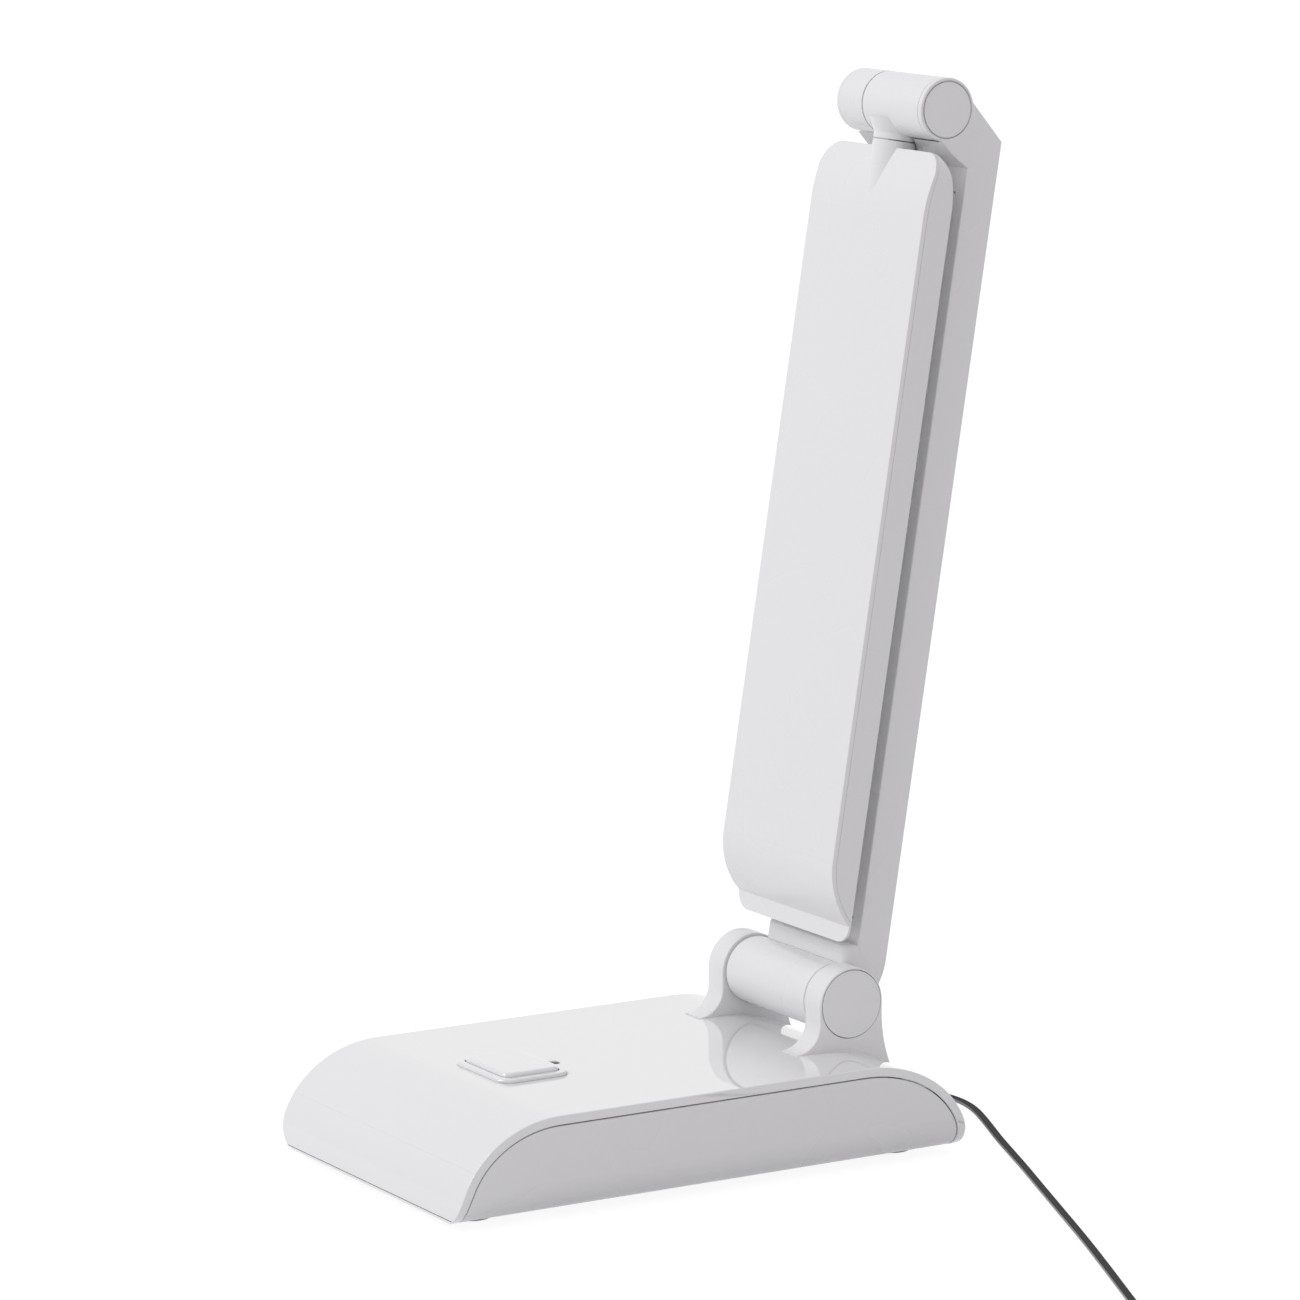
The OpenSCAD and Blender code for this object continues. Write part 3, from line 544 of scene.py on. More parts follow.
def cord_finish(name):
    """The flat cord's jacket, with a painted highlight along the outer edge of one core, placed by
    the cord's own map.
    """
    mat, tree, shader, coords = finish_named(name)
    around = tree.nodes.new("ShaderNodeUVMap")
    around.uv_map = "around"
    split = add(tree, "ShaderNodeSeparateXYZ", {"Vector": around.outputs["UV"]})
    # Painted highlight: this band round the outer edge of one core gets the lighter colour
    highlight_band = add(tree, "ShaderNodeValToRGB", {"Fac": split.outputs["X"]})
    ends = highlight_band.color_ramp.elements
    ends[0].position = 0.0
    ends[0].color = grey(0)
    ends[1].position = 0.64
    ends[1].color = grey(0)
    for spot, value in ((0.68, 1), (0.78, 1), (0.82, 0)):
        ends.new(spot).color = grey(value)
    skin = grain(tree, coords, 1500, 2)
    plain, mark = tuple(finishes().jacket), tuple(finishes().mark)
    values = {
        "Base Color": blend_colours(tree, highlight_band.outputs["Color"], plain, mark),
        "Roughness": between(tree, skin, 0.5, 0.62),
        "Specular IOR Level": 0.12,
    }
    feed(tree, shader, values)
    raise_surface(tree, shader, [(skin, 0.00004, 0.3)])
    return mat


def opal(name):
    """The milky diffuser: light spreads in it, and prisms too fine to count roughen its face."""
    mat, tree, shader, coords = finish_named(name)
    frost = grain(tree, coords, 900, 2)
    cloud = grain(tree, coords, 25, 2)
    values = {
        "Base Color": blend_colours(tree, cloud, (0.84, 0.845, 0.85), (0.9, 0.9, 0.9)),
        "Roughness": between(tree, frost, 0.3, 0.42),
        "Subsurface Weight": 0.15,
        "Subsurface Scale": 0.002,
    }
    feed(tree, shader, values)
    raise_surface(tree, shader, [(frost, 0.00004, 0.4)])
    return mat


def board(name, colour):
    """A circuit board: solder mask over faint copper tracks."""
    mat, tree, shader, coords = finish_named(name)
    values = {
        "Vector": coords,
        "Scale": 160,
        "Mortar Size": 0.03,
        "Color1": (*colour, 1),
        "Color2": (*[min(1, c * 1.15) for c in colour], 1),
        "Mortar": (*[c * 0.7 for c in colour], 1),
    }
    tracks = add(tree, "ShaderNodeTexBrick", values)
    haze = between(tree, grain(tree, coords, 300, 2), 0.25, 0.4)
    feed(tree, shader, {"Base Color": tracks.outputs["Color"], "Roughness": haze})
    raise_surface(tree, shader, [(tracks.outputs["Fac"], 0.00003, 0.5)])
    return mat


def finish(name, make, *args, **more):
    """The named finish, made on first use. The frame brings plain materials with names of its own."""
    label = "lamp_" + name
    return bpy.data.materials.get(label) or make(label, *args, **more)


def shell_colour(factor):
    return tuple(c * factor for c in finishes().shell)


def gloss_white():
    return finish("white_gloss", moulded, tuple(finishes().shell), 0.035, 0.01, coat=1.0)


def satin_white():
    return finish("white_satin", moulded, shell_colour(1.04), 0.27, 0.03)


def cap_white():
    return finish("white_cap", moulded, shell_colour(1.06), 0.3, 0.03, 0.01, 0.05)


# The base


BUTTON_GAP = 0.35 * MM


def button_block(name, gap, low, high):
    """A block with the button's outline and rounded corners, larger by a gap all round."""
    s = sizes()
    half_w, half_l = s.button_width / 2 + gap, s.button_length / 2 + gap
    obj = block(name, (-half_w, BUTTON.y - half_l, low), (half_w, BUTTON.y + half_l, high))
    bevel_where(obj, runs_along(2), 3 * MM)
    return obj


# The faint line where the cover's mould parts, across its front curve
PARTING_Z = 20 * MM
PARTING_R = 0.09 * MM


class LAMP_OT_base_cover(bpy.types.Operator):
    """Model the curved cover of the base"""

    bl_idname = "lamp.base_cover"
    bl_label = "Base cover"

    def execute(self, context):
        s = sizes()
        cover = traced("cover", "yz", base_side_view(), -WIDE, WIDE)
        ends = traced("cover_ends", "xz", base_front_view(0), FRONT_Y - PAST, REAR_Y + PAST)
        join_cut(cover, ends, "INTERSECT")
        join_cut(cover, traced("cover_hollow", "yz", base_hollow(s.cover_wall), -WIDER, WIDER))
        join_cut(cover, button_block("button_hole", BUTTON_GAP, TOP_Z - 4 * MM, TOP_Z + PAST))
        low, high = (0, LENS.y, TOP_Z - PAST), (0, LENS.y, TOP_Z + PAST)
        join_cut(cover, rod("lens_hole", low, high, 2 * MM, 48))
        soften(cover, s.edge, merge=0.35 * MM)
        rise = (PARTING_Z - UNDER_Z - LIP) / (TOP_Z - UNDER_Z - LIP)
        y = FRONT_Y + s.front_run - s.front_run * math.sqrt(1 - rise**2)
        low, high = (-WIDER, y, PARTING_Z), (WIDER, y, PARTING_Z)
        join_cut(cover, rod("parting_line", low, high, PARTING_R, 8))
        soften(cover, 0)
        place_piece(cover, "base", gloss_white(), "white_gloss", "base_cover")
        return {"FINISHED"}


class LAMP_OT_side_panels(bpy.types.Operator):
    """Model the panels that close the base's sides"""

    bl_idname = "lamp.side_panels"
    bl_label = "Side panels"

    def execute(self, context):
        inner_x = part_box("side_panel_right")[0][0]
        low, high = FRONT_Y - PAST, REAR_Y + PAST
        panel = traced("side_right", "xz", base_front_view(0.15 * MM), low, high)
        low, high = FRONT_Y - FAR, REAR_Y + FAR
        join_cut(panel, traced("panel_inside", "xz", base_front_view(2.4 * MM), low, high))
        hollow = base_hollow(sizes().cover_wall + 0.35 * MM)
        outline = traced("panel_outline", "yz", hollow, inner_x, WIDER)
        join_cut(panel, outline, "INTERSECT")
        soften(panel, 0.3 * MM, merge=0.35 * MM)
        left = mirrored(panel, "side_left")
        place_satin(panel, "base", "side_panel_right")
        place_satin(left, "base", "side_panel_left")
        return {"FINISHED"}


class LAMP_OT_button(bpy.types.Operator):
    """Model the push button, its raised frame and the dark indicator"""

    bl_idname = "lamp.button"
    bl_label = "Button and indicator"

    def execute(self, context):
        low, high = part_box("button_frame")
        rim = block("button_rim", (low[0], low[1], TOP_Z), high)
        bevel_where(rim, runs_along(2), 5 * MM)
        bevel_where(rim, lies_over(2, high[2]), 1.05 * MM, 3, 0.6)
        join_cut(rim, button_block("rim_well", BUTTON_GAP, TOP_Z - PAST, TOP_Z + PAST))
        soften(rim, 0.2 * MM)
        place_piece(rim, "base", gloss_white(), "white_gloss", "button_frame")

        low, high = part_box("button_cap")
        cap = button_block("button", 0, low[2], high[2])
        bevel_where(cap, lies_over(2, high[2]), 1.3 * MM)
        soften(cap, 0)
        place_piece(cap, "button", gloss_white(), "white_gloss", "button_cap")

        low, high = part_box("indicator_lens")
        r = (high[0] - low[0]) / 2
        tip = high[2] - low[2]
        curve = [(tip - 0.35 * MM, r), (tip - 0.2 * MM, r * 0.93), (tip - 0.05 * MM, r * 0.7)]
        profile = [(0, 0), (0, r), *curve, (tip, 0)]
        dome = turned("indicator", (0, LENS.y, low[2]), profile, "z", 48)
        soften(dome, 0)
        dark = finish("indicator_dark", moulded, tuple(finishes().lens), 0.08, 0.02)
        place_piece(dome, "base", dark, "black_gloss", "indicator_lens")
        return {"FINISHED"}


# The hinge at the base

EAR_R = 12 * MM
TOE_R = 9 * MM
TOE_EDGE = 0.3 * MM
HEEL_R = 48 * MM
# How far below the base's top the ears' edges are still rounded
EAR_SEAT = 10 * MM


def ear_outline():
    """An ear seen from the side: round above, with a hollow toe in front and a long heel behind."""
    drop = HINGE.z - TOP_Z
    toe = arc(-EAR_R - TOE_R, -drop + TOE_EDGE + TOE_R, TOE_R, TOE_R, -90, 0, 18)
    crown = arc(0, 0, EAR_R, EAR_R, 180, 0, 48)
    heel = arc(EAR_R + HEEL_R, -EAR_R / 3, HEEL_R, HEEL_R, 180, 212, 18)
    last = [(-EAR_R - TOE_R, -drop - EAR_R)]
    return [(HINGE.y + y, HINGE.z + z) for y, z in toe + crown + heel + last]


class LAMP_OT_ears(bpy.types.Operator):
    """Model the two ears that carry the arm, and their caps"""

    bl_idname = "lamp.ears"
    bl_label = "Hinge ears"

    def execute(self, context):
        low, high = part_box("hinge_ear_right")
        cap_low, cap_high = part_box("ear_cap_right")
        cap_r = (cap_high[2] - cap_low[2]) / 2
        floor = TOP_Z - EAR_SEAT
        side = lies_across(0)
        ear = traced("ear_right", "yz", ear_outline(), low[0], high[0])
        bevel_where(ear, lambda a, b: side(a, b) and (a.z + b.z) / 2 > floor, sizes().edge, 3)
        inner, outer = (cap_low[0], HINGE.y, HINGE.z), (high[0] + PAST, HINGE.y, HINGE.z)
        join_cut(ear, rod("cap_recess", inner, outer, cap_r + 0.25 * MM))
        join_cut(ear, traced("ear_seat", "yz", base_side_view(), -WIDE, WIDE))
        soften(ear, 0)
        left = mirrored(ear, "ear_left")
        place_satin(ear, "base", "hinge_ear_right")
        place_satin(left, "base", "hinge_ear_left")

        cap = turned("ear_cap_r", inner, rimmed(cap_r, cap_high[0] - cap_low[0]))
        soften(cap, 0)
        cap_left = mirrored(cap, "ear_cap_l")
        place_piece(cap, "base", cap_white(), "white_satin", "ear_cap_right")
        place_piece(cap_left, "base", cap_white(), "white_satin", "ear_cap_left")
        return {"FINISHED"}


def rimmed(radius, thick):
    """The profile of a flat cap with a fine raised rim."""
    rim = 0.25 * MM
    face = thick - rim
    return [
        (0, 0),
        (0, radius),
        (thick - 0.15 * MM, radius),
        (thick - 0.04 * MM, radius - 0.06 * MM),
        (thick, radius - 0.2 * MM),
        (thick, radius - 0.5 * MM),
        (thick - 0.08 * MM, radius - 0.68 * MM),
        (face, radius - 0.95 * MM),
        (face - 0.02 * MM, 0),
    ]


# The arm, drawn upright from the base hinge: y is towards the back, z is along the arm

ARM_FRONT = 6 * MM
ARM_BACK = 18 * MM
ARM_WALL = 2.2 * MM
BARREL_R = 11.2 * MM
TOP_FRONT = 5 * MM
TOP_R = 10.3 * MM
CORNER_DROP = 7.8 * MM
BEND_DROP = 10 * MM
LEDGE_Z = 17.9 * MM
LEDGE_FRONT = 2 * MM
WINDOW_X = 20 * MM
WINDOW_LOW = LEDGE_Z + 8 * MM
FRONT_T = 2.15 * MM
NECK_Y = -6.924 * MM
NECK_R = 7 * MM
CAP_T = 2 * MM
CAP_R = 8.95 * MM
RECESS_DEPTH = 0.9 * MM
RECESS_R = 9.45 * MM
KNUCKLE_W = 13.2 * MM
CHEEK_W = 1.9 * MM
TURN_GAP = 0.3 * MM


def top_axis(x):
    return (x, -TOP_FRONT, sizes().arm_length)


def arm_bend():
    """The height at which the arm's front begins to lean in to the top hinge."""
    return sizes().arm_length - CORNER_DROP - BEND_DROP


def shaft_bore(node, place):
    """A rod that bores a barrel for its shaft, a little wider than the shaft."""
    low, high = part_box(node)
    radius = (high[2] - low[2]) / 2 + 0.1 * MM
    reach = 40 * MM
    return rod("bore", (-reach, place[1], place[2]), (reach, place[1], place[2]), radius, 48)


def barrel_profile(start, end, radius, ease, corner, groove=()):
    """A barrel's profile from start to end, with its edges eased in two steps."""
    left = [(start, 0), (start, radius - ease), (start + corner, radius - corner)]
    right = [(end - corner, radius - corner), (end, radius - ease), (end, 0)]
    return [*left, (start + ease, radius), *groove, (end - ease, radius), *right]


def arm_outline():
    top = sizes().arm_length
    bend = arm_bend()
    return (
        [
            (ARM_FRONT, 0),
            (ARM_FRONT, bend),
            (-0.5 * MM, bend + 3.5 * MM),
            (-TOP_FRONT - 0.5 * MM, top - TOP_R),
            (-TOP_FRONT, top),
            (-TOP_FRONT + TOP_R * 0.92, top + TOP_R * 0.36),
            (ARM_BACK, top - CORNER_DROP),
        ]
        + arc(BARREL_R * 0.3, ARM_BACK * 0.75, ARM_BACK - BARREL_R * 0.3, ARM_BACK, 0, -72, 20)
        + [(0, 0)]
    )


def ledge_corner(a, b):
    """A test for the ledge's upright front edges."""
    return abs(a.z - b.z) > MM and max(a.y, b.y) < LEDGE_FRONT + 0.1 * MM


def ledge_brow(a, b):
    """A test for the ledge's top edges in front of the arm."""
    return min(a.z, b.z) > LEDGE_Z - 0.1 * MM and a.y + b.y < 2 * ARM_FRONT + MM


class LAMP_OT_arm(bpy.types.Operator):
    """Model the arm, its front cover and the barrel at its foot"""

    bl_idname = "lamp.arm"
    bl_label = "Arm"

    def execute(self, context):
        s = sizes()
        half = s.arm_width / 2
        bend = arm_bend()
        window_high = bend - 8 * MM
        cap_x = -half + CAP_T
        knuckle = cap_x + KNUCKLE_W
        cheek_x = half - CHEEK_W
        room_r = TOP_R + TURN_GAP

        arm = traced("arm", "yz", arm_outline(), -half, half)
        bevel_where(arm, lies_across(0), s.edge, 4)
        ledge = block("ledge", (-half, LEDGE_FRONT, 5 * MM), (half, ARM_FRONT + MM, LEDGE_Z))
        bevel_where(ledge, ledge_corner, 4 * MM, 8)
        bevel_where(ledge, ledge_brow, 1.4 * MM, 5)
        join_cut(arm, ledge, "UNION")
        join_cut(arm, rod("knuckle", top_axis(cap_x), top_axis(knuckle), TOP_R), "UNION")
        cheek = rod("cheek", top_axis(cheek_x), top_axis(half), TOP_R)
        bevel_where(cheek, lies_over(0, half), s.edge, 4)
        join_cut(arm, cheek, "UNION")
        join_cut(arm, rod("tube_room", top_axis(knuckle), top_axis(cheek_x), room_r))
        join_cut(arm, rod("cap_room", top_axis(-half - PAST), top_axis(cap_x), room_r))
        recess = rod("recess", top_axis(half - RECESS_DEPTH), top_axis(half + PAST), RECESS_R)
        join_cut(arm, recess)
        low, high = (0, NECK_Y, 256 * MM), (0, NECK_Y, 287 * MM)
        join_cut(arm, rod("neck_room", low, high, NECK_R + 0.8 * MM))
        low, high = (-2 * half, 0, 0), (2 * half, 0, 0)
        join_cut(arm, rod("barrel_room", low, high, BARREL_R + 0.05 * MM))
        low = (-WINDOW_X, ARM_FRONT - PAST, WINDOW_LOW)
        high = (WINDOW_X, ARM_FRONT + ARM_WALL, window_high)
        join_cut(arm, block("window", low, high))
        low = (ARM_WALL - half, ARM_FRONT + FRONT_T, LEDGE_Z + 6 * MM)
        high = (half - ARM_WALL, ARM_BACK - ARM_WALL, bend - 6 * MM)
        join_cut(arm, block("arm_room", low, high))
        place_leaning(arm, "arm", "arm_shell")

        gap = 0.2 * MM
        low = (-WINDOW_X + gap, ARM_FRONT, WINDOW_LOW + gap)
        high = (WINDOW_X - gap, ARM_FRONT + FRONT_T, window_high - gap)
        cover = block("arm_front", low, high)
        bevel_where(cover, runs_along(1), 1.5 * MM)
        soften(cover, 0.3 * MM)
        lean_back(cover)
        place_satin(cover, "arm", "arm_cover")

        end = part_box("arm_barrel")[1][0]
        under = BARREL_R - 0.45 * MM
        groove = [(end - 1.6 * MM, BARREL_R), (end - 1.5 * MM, under)]
        groove += [(end - 1.0 * MM, under), (end - 0.9 * MM, BARREL_R)]
        profile = barrel_profile(-end, end, BARREL_R, 0.4 * MM, 0.12 * MM, groove)
        barrel = turned("foot_barrel", (0, 0, 0), profile, sides=128)
        join_cut(barrel, shaft_bore("hinge_shaft", (0, 0, 0)))
        place_leaning(barrel, "arm", "arm_barrel")
        return {"FINISHED"}


class LAMP_OT_top_caps(bpy.types.Operator):
    """Model the caps at both ends of the top hinge"""

    bl_idname = "lamp.top_caps"
    bl_label = "Top hinge caps"

    def execute(self, context):
        half = sizes().arm_width / 2
        right = turned("top_cap_r", top_axis(half - RECESS_DEPTH), rimmed(CAP_R, 1.05 * MM))
        soften(right, 0)
        lean_back(right)
        place_piece(right, "arm", cap_white(), "white_satin", "top_cap_right")
        profile = [
            (0, 0),
            (0, TOP_R - 0.9 * MM),
            (0.12 * MM, TOP_R - 0.45 * MM),
            (0.45 * MM, TOP_R - 0.12 * MM),
            (0.9 * MM, TOP_R),
            (CAP_T - 0.15 * MM, TOP_R),
            (CAP_T, TOP_R - 0.15 * MM),
            (CAP_T, 0),
        ]
        left = turned("top_cap_l", top_axis(-half), profile)
        place_leaning(left, "arm", "top_cap_left")
        return {"FINISHED"}


# The head, in the same upright frame

HEAD_BACK = -3.5 * MM
HEAD_T = 10.7 * MM
HEAD_FACE = HEAD_BACK - HEAD_T
HEAD_LOW = 19.3 * MM
HEAD_HIGH = 277 * MM
TIP_BEND = 28 * MM
TOP_RUN = 21 * MM
ARCH_Y = HEAD_FACE + HEAD_T * 0.46
ARCH_HALF = 0.6 * MM
SEAM_Z = HEAD_HIGH + 2.2 * MM
FLARE = 2.2 * MM


def head_side_view(inset, back):
    """The head seen from the side. An inset draws in its front, for what lies behind the shell."""
    front = HEAD_FACE + inset
    bend = TIP_BEND - inset
    bend_z = HEAD_LOW + 27 * MM
    lip_y = back if inset else HEAD_BACK - MM
    lip = math.degrees(math.acos((bend + front - lip_y) / bend))
    peak_front = ARCH_Y - ARCH_HALF + 0.6 * inset
    peak_back = ARCH_Y + ARCH_HALF + back - HEAD_BACK
    rear_run = TOP_RUN * 0.9
    points = [] if inset else [(back, HEAD_LOW - PAST), (HEAD_BACK - 0.7 * MM, HEAD_LOW - PAST)]
    points += arc(front + bend, bend_z, bend, bend, 180 + lip, 180, 24)
    for i in range(17):
        f = i / 16
        points.append((front + f * f * (peak_front - front), HEAD_HIGH + TOP_RUN * (f - 1)))
    points += [(peak_front, HEAD_HIGH + PAST), (peak_back, HEAD_HIGH + PAST)]
    for i in range(16, -1, -1):
        f = i / 16
        points.append((back - f * f * (back - peak_back), HEAD_HIGH + rear_run * (f - 1)))
    return points


def head_solid(name, inset_side, back):
    """The head's whole block, or with an inset what lies behind its shell."""
    half = sizes().head_width / 2
    solid = traced(name, "yz", head_side_view(inset_side, back), -half - PAST, half + PAST)
    bulge = 0.7 * MM
    mid = (HEAD_FACE + HEAD_BACK) / 2
    right = arc(half - bulge, mid, bulge, HEAD_T / 2, -90, 90, 48)
    section = right + [(-x, y) for x, y in reversed(right)]
    bars = traced("head_section", "xy", section, HEAD_LOW - PAST, HEAD_HIGH + PAST)
    low_r, high_r = 6.5 * MM, 9 * MM
    plan = (
        arc(half - low_r, HEAD_LOW + low_r, low_r, low_r, -90, 0, 12)
        + arc(half - high_r, HEAD_HIGH - high_r, high_r, high_r, 0, 90, 14)
        + arc(high_r - half, HEAD_HIGH - high_r, high_r, high_r, 90, 180, 14)
        + arc(low_r - half, HEAD_LOW + low_r, low_r, low_r, 180, 270, 12)
    )
    face = traced("head_plan", "xz", plan, HEAD_FACE - PAST, HEAD_BACK + PAST)
    join_cut(solid, bars, "INTERSECT")
    join_cut(solid, face, "INTERSECT")
    return solid


def window_block(name, inset, depth_from, depth_to):
    """A rounded block over the light opening, drawn in by an inset."""
    half = sizes().head_width / 2 - 5.5 * MM - inset
    low, high = HEAD_LOW + 24 * MM + inset, HEAD_HIGH - TOP_RUN - 4 * MM - inset
    obj = block(name, (-half, depth_to, low), (half, depth_from, high))
    bevel_where(obj, lambda a, b: abs(a.y - b.y) > MM / 2, 5 * MM - inset, 10)
    return obj


def behind_shell(name, inset):
    """The room behind the head's shell, which cuts the shell and trims its frame."""
    reach = sizes().head_width / 2 + FAR
    return traced(name, "yz", head_side_view(inset, HEAD_BACK + MM), -reach, reach)


GLASS_T = 1.5 * MM
WELL_DEPTH = 6.4 * MM


class LAMP_OT_head(bpy.types.Operator):
    """Model the head's shell, its frame and the diffuser"""

    bl_idname = "lamp.head"
    bl_label = "Head"

    def execute(self, context):
        shell = head_solid("head_front", 0, HEAD_BACK)
        join_cut(shell, behind_shell("behind_shell", 1.4 * MM))
        place_leaning(shell, "head", "head_shell")

        rear = head_solid("head_rear", 0, HEAD_BACK)
        join_cut(rear, behind_shell("frame_room", 1.5 * MM), "INTERSECT")
        past, seat = HEAD_BACK + PAST, HEAD_BACK - GLASS_T
        join_cut(rear, window_block("glass_seat", 0, past, seat))
        join_cut(rear, window_block("light_well", 1.2 * MM, past, HEAD_BACK - WELL_DEPTH))
        place_leaning(rear, "head", "head_frame")

        glass = window_block("glass", 0.15 * MM, HEAD_BACK - 0.1 * MM, seat)
        soften(glass, 0.2 * MM)
        lean_back(glass)
        place_piece(glass, "head", finish("opal", opal), "opal", "diffuser")
        return {"FINISHED"}


class LAMP_OT_neck(bpy.types.Operator):
    """Model the round neck on the head and the barrel that it turns in"""

    bl_idname = "lamp.neck"
    bl_label = "Neck and top barrel"

    def execute(self, context):
        half = sizes().arm_width / 2
        foot = HEAD_HIGH - TOP_RUN
        neck = rod("neck", (0, NECK_Y, foot), (0, NECK_Y, SEAM_Z), NECK_R, 128)
        bevel_where(neck, lies_over(2, SEAM_Z), 0.3 * MM, 3)
        join_cut(neck, head_solid("neck_seat", 0, HEAD_BACK))
        shoulder = HEAD_HIGH - 3 * MM
        slope = [
            (HEAD_BACK - MM, foot - PAST),
            (HEAD_BACK - MM, HEAD_HIGH - 13 * MM),
            (NECK_Y + NECK_R, shoulder),
            (50 * MM, shoulder),
            (50 * MM, foot - PAST),
        ]
        join_cut(neck, traced("neck_slope", "yz", slope, -20 * MM, 20 * MM))
        place_leaning(neck, "head", "head_neck")

        x0 = -half + CAP_T + KNUCKLE_W + TURN_GAP + 0.15 * MM
        x1 = half - CHEEK_W - TURN_GAP
        profile = barrel_profile(x0, x1, TOP_R, 0.35 * MM, 0.1 * MM)
        tube = turned("top_barrel", top_axis(0), profile, sides=128)
        gap_z = SEAM_Z + 0.3 * MM
        low, mid = (0, NECK_Y, gap_z), (0, NECK_Y, SEAM_Z + FLARE)
        high = (0, NECK_Y, sizes().arm_length - TOP_R * 0.5)
        stub = rod("stub", low, mid, NECK_R, 128)
        bevel_where(stub, lambda a, b: max(a.z, b.z) < gap_z + 0.1 * MM, 0.3 * MM, 3)
        join_cut(tube, stub, "UNION")
        join_cut(tube, rod("stub_flare", mid, high, NECK_R, 128, NECK_R + FLARE), "UNION")
        join_cut(tube, shaft_bore("top_shaft", top_axis(0)))
        place_leaning(tube, "head", "head_barrel")
        return {"FINISHED"}


# The cord

ROUTE = [
    (-28, 92.5, 8.8),
    (-28, 95.5, 8.2),
    (-27.5, 99, 6.4),
    (-25.5, 103.5, 4),
    (-21.5, 108, 2),
    (-15.5, 111.8, 1),
    (-8, 114.2, 0.8),
    (0, 115, 0.8),
    (8, 114, 0.8),
    (16, 111.7, 0.8),
    (25, 108.2, 0.8),
    (35, 104, 0.8),
    (50, 97.6, 0.8),
    (66, 91.2, 0.8),
    (82, 84.8, 0.8),
    (98, 78.2, 0.8),
    (115, 71.2, 0.8),
    (133, 63.8, 0.8),
    (163, 51.4, 0.8),
    (190, 39.8, 0.8),
    (223, 25.4, 0.8),
    (245, 16, 1),
    (270, 5.4, 1.4),
]
EXIT = Vector((-28 * MM, GROMMET_HIGH[1], 9 * MM))
COIL_MID = 16.4 * MM
COIL_PITCH = 3.3 * MM
COIL_RISE = 2 * MM
COIL_TURNS = 2.75
COIL_LAYERS = 4
STRAIGHT = 2.8 * MM
TAIL = 16 * MM
PLUG_Z = 3.9 * MM


def smooth_route():
    """The cord's way over the table, on a smooth curve through its points."""
    pts = [Vector(p) * MM for p in ROUTE]
    last = len(pts) - 1
    path = [EXIT.copy()]
    for k in range(last):
        a, b = pts[max(k - 1, 0)], pts[k]
        c, d = pts[k + 1], pts[min(k + 2, last)]
        for i in range(6):
            f = i / 6
            path.append(
                0.5
                * (
                    2 * b
                    + (c - a) * f
                    + (2 * a - 5 * b + 4 * c - d) * f * f
                    + (3 * b - a - 3 * c + d) * f**3
                )
            )
    path.append(pts[last])
    return path


def cord_path():
    """The route, the coil's layers wound in and out, and the tail down to the plug."""
    path = smooth_route()
    entry = path[-1]
    way = (Vector(ROUTE[-1]) - Vector(ROUTE[-2])).normalized()
    begin = math.degrees(math.atan2(way.y, way.x)) + 90
    layer = COIL_TURNS * 360
    spread_r = COIL_TURNS * COIL_PITCH / 2
    outer, inner = COIL_MID + spread_r, COIL_MID - spread_r
    out = Vector((math.cos(math.radians(begin)), math.sin(math.radians(begin)), 0))
    centre = Vector((entry.x, entry.y, 0)) + Vector((way.x, way.y, 0)) * STRAIGHT - out * outer
    end = layer * COIL_LAYERS

    def height(turn):
        step = round(turn / layer)
        if turn < layer / 2 or turn > (COIL_LAYERS - 0.5) * layer:
            return math.floor(turn / layer)
        x = (turn - step * layer) / 180 + 0.5
        x = min(max(x, 0), 1)
        return step - 1 + x * x * (3 - 2 * x)

    def place(turn):
        turn = min(turn, end - 0.001)
        level = math.floor(turn / layer)
        run = COIL_PITCH * (turn - level * layer) / 360
        r = outer - run if level % 2 == 0 else inner + run
        a = math.radians(begin - turn)
        return centre + Vector((r * math.cos(a), r * math.sin(a), entry.z + COIL_RISE * height(turn)))

    steps = round(end / 11.25)
    path += [place(end * i / steps) for i in range(steps + 1)]
    a = math.radians(begin - end)
    away = Vector((math.sin(a), -math.cos(a), 0))
    tail_start = path[-1] + away * STRAIGHT
    drop = tail_start.z - PLUG_Z
    for i in range(9):
        f = i / 8
        path.append(tail_start + away * TAIL * f - Vector((0, 0, drop * f * f * (3 - 2 * f))))
    return path, away


def flat_section():
    """The flat cord's section: two round cores side by side with a groove between them."""
    s = sizes()
    r = s.cord_thick / 2
    reach = s.cord_width / 2 - r
    right = arc(reach, 0, r, r, -130, 130, 10)
    left = [(-x, -y) for x, y in right]
    return right + left


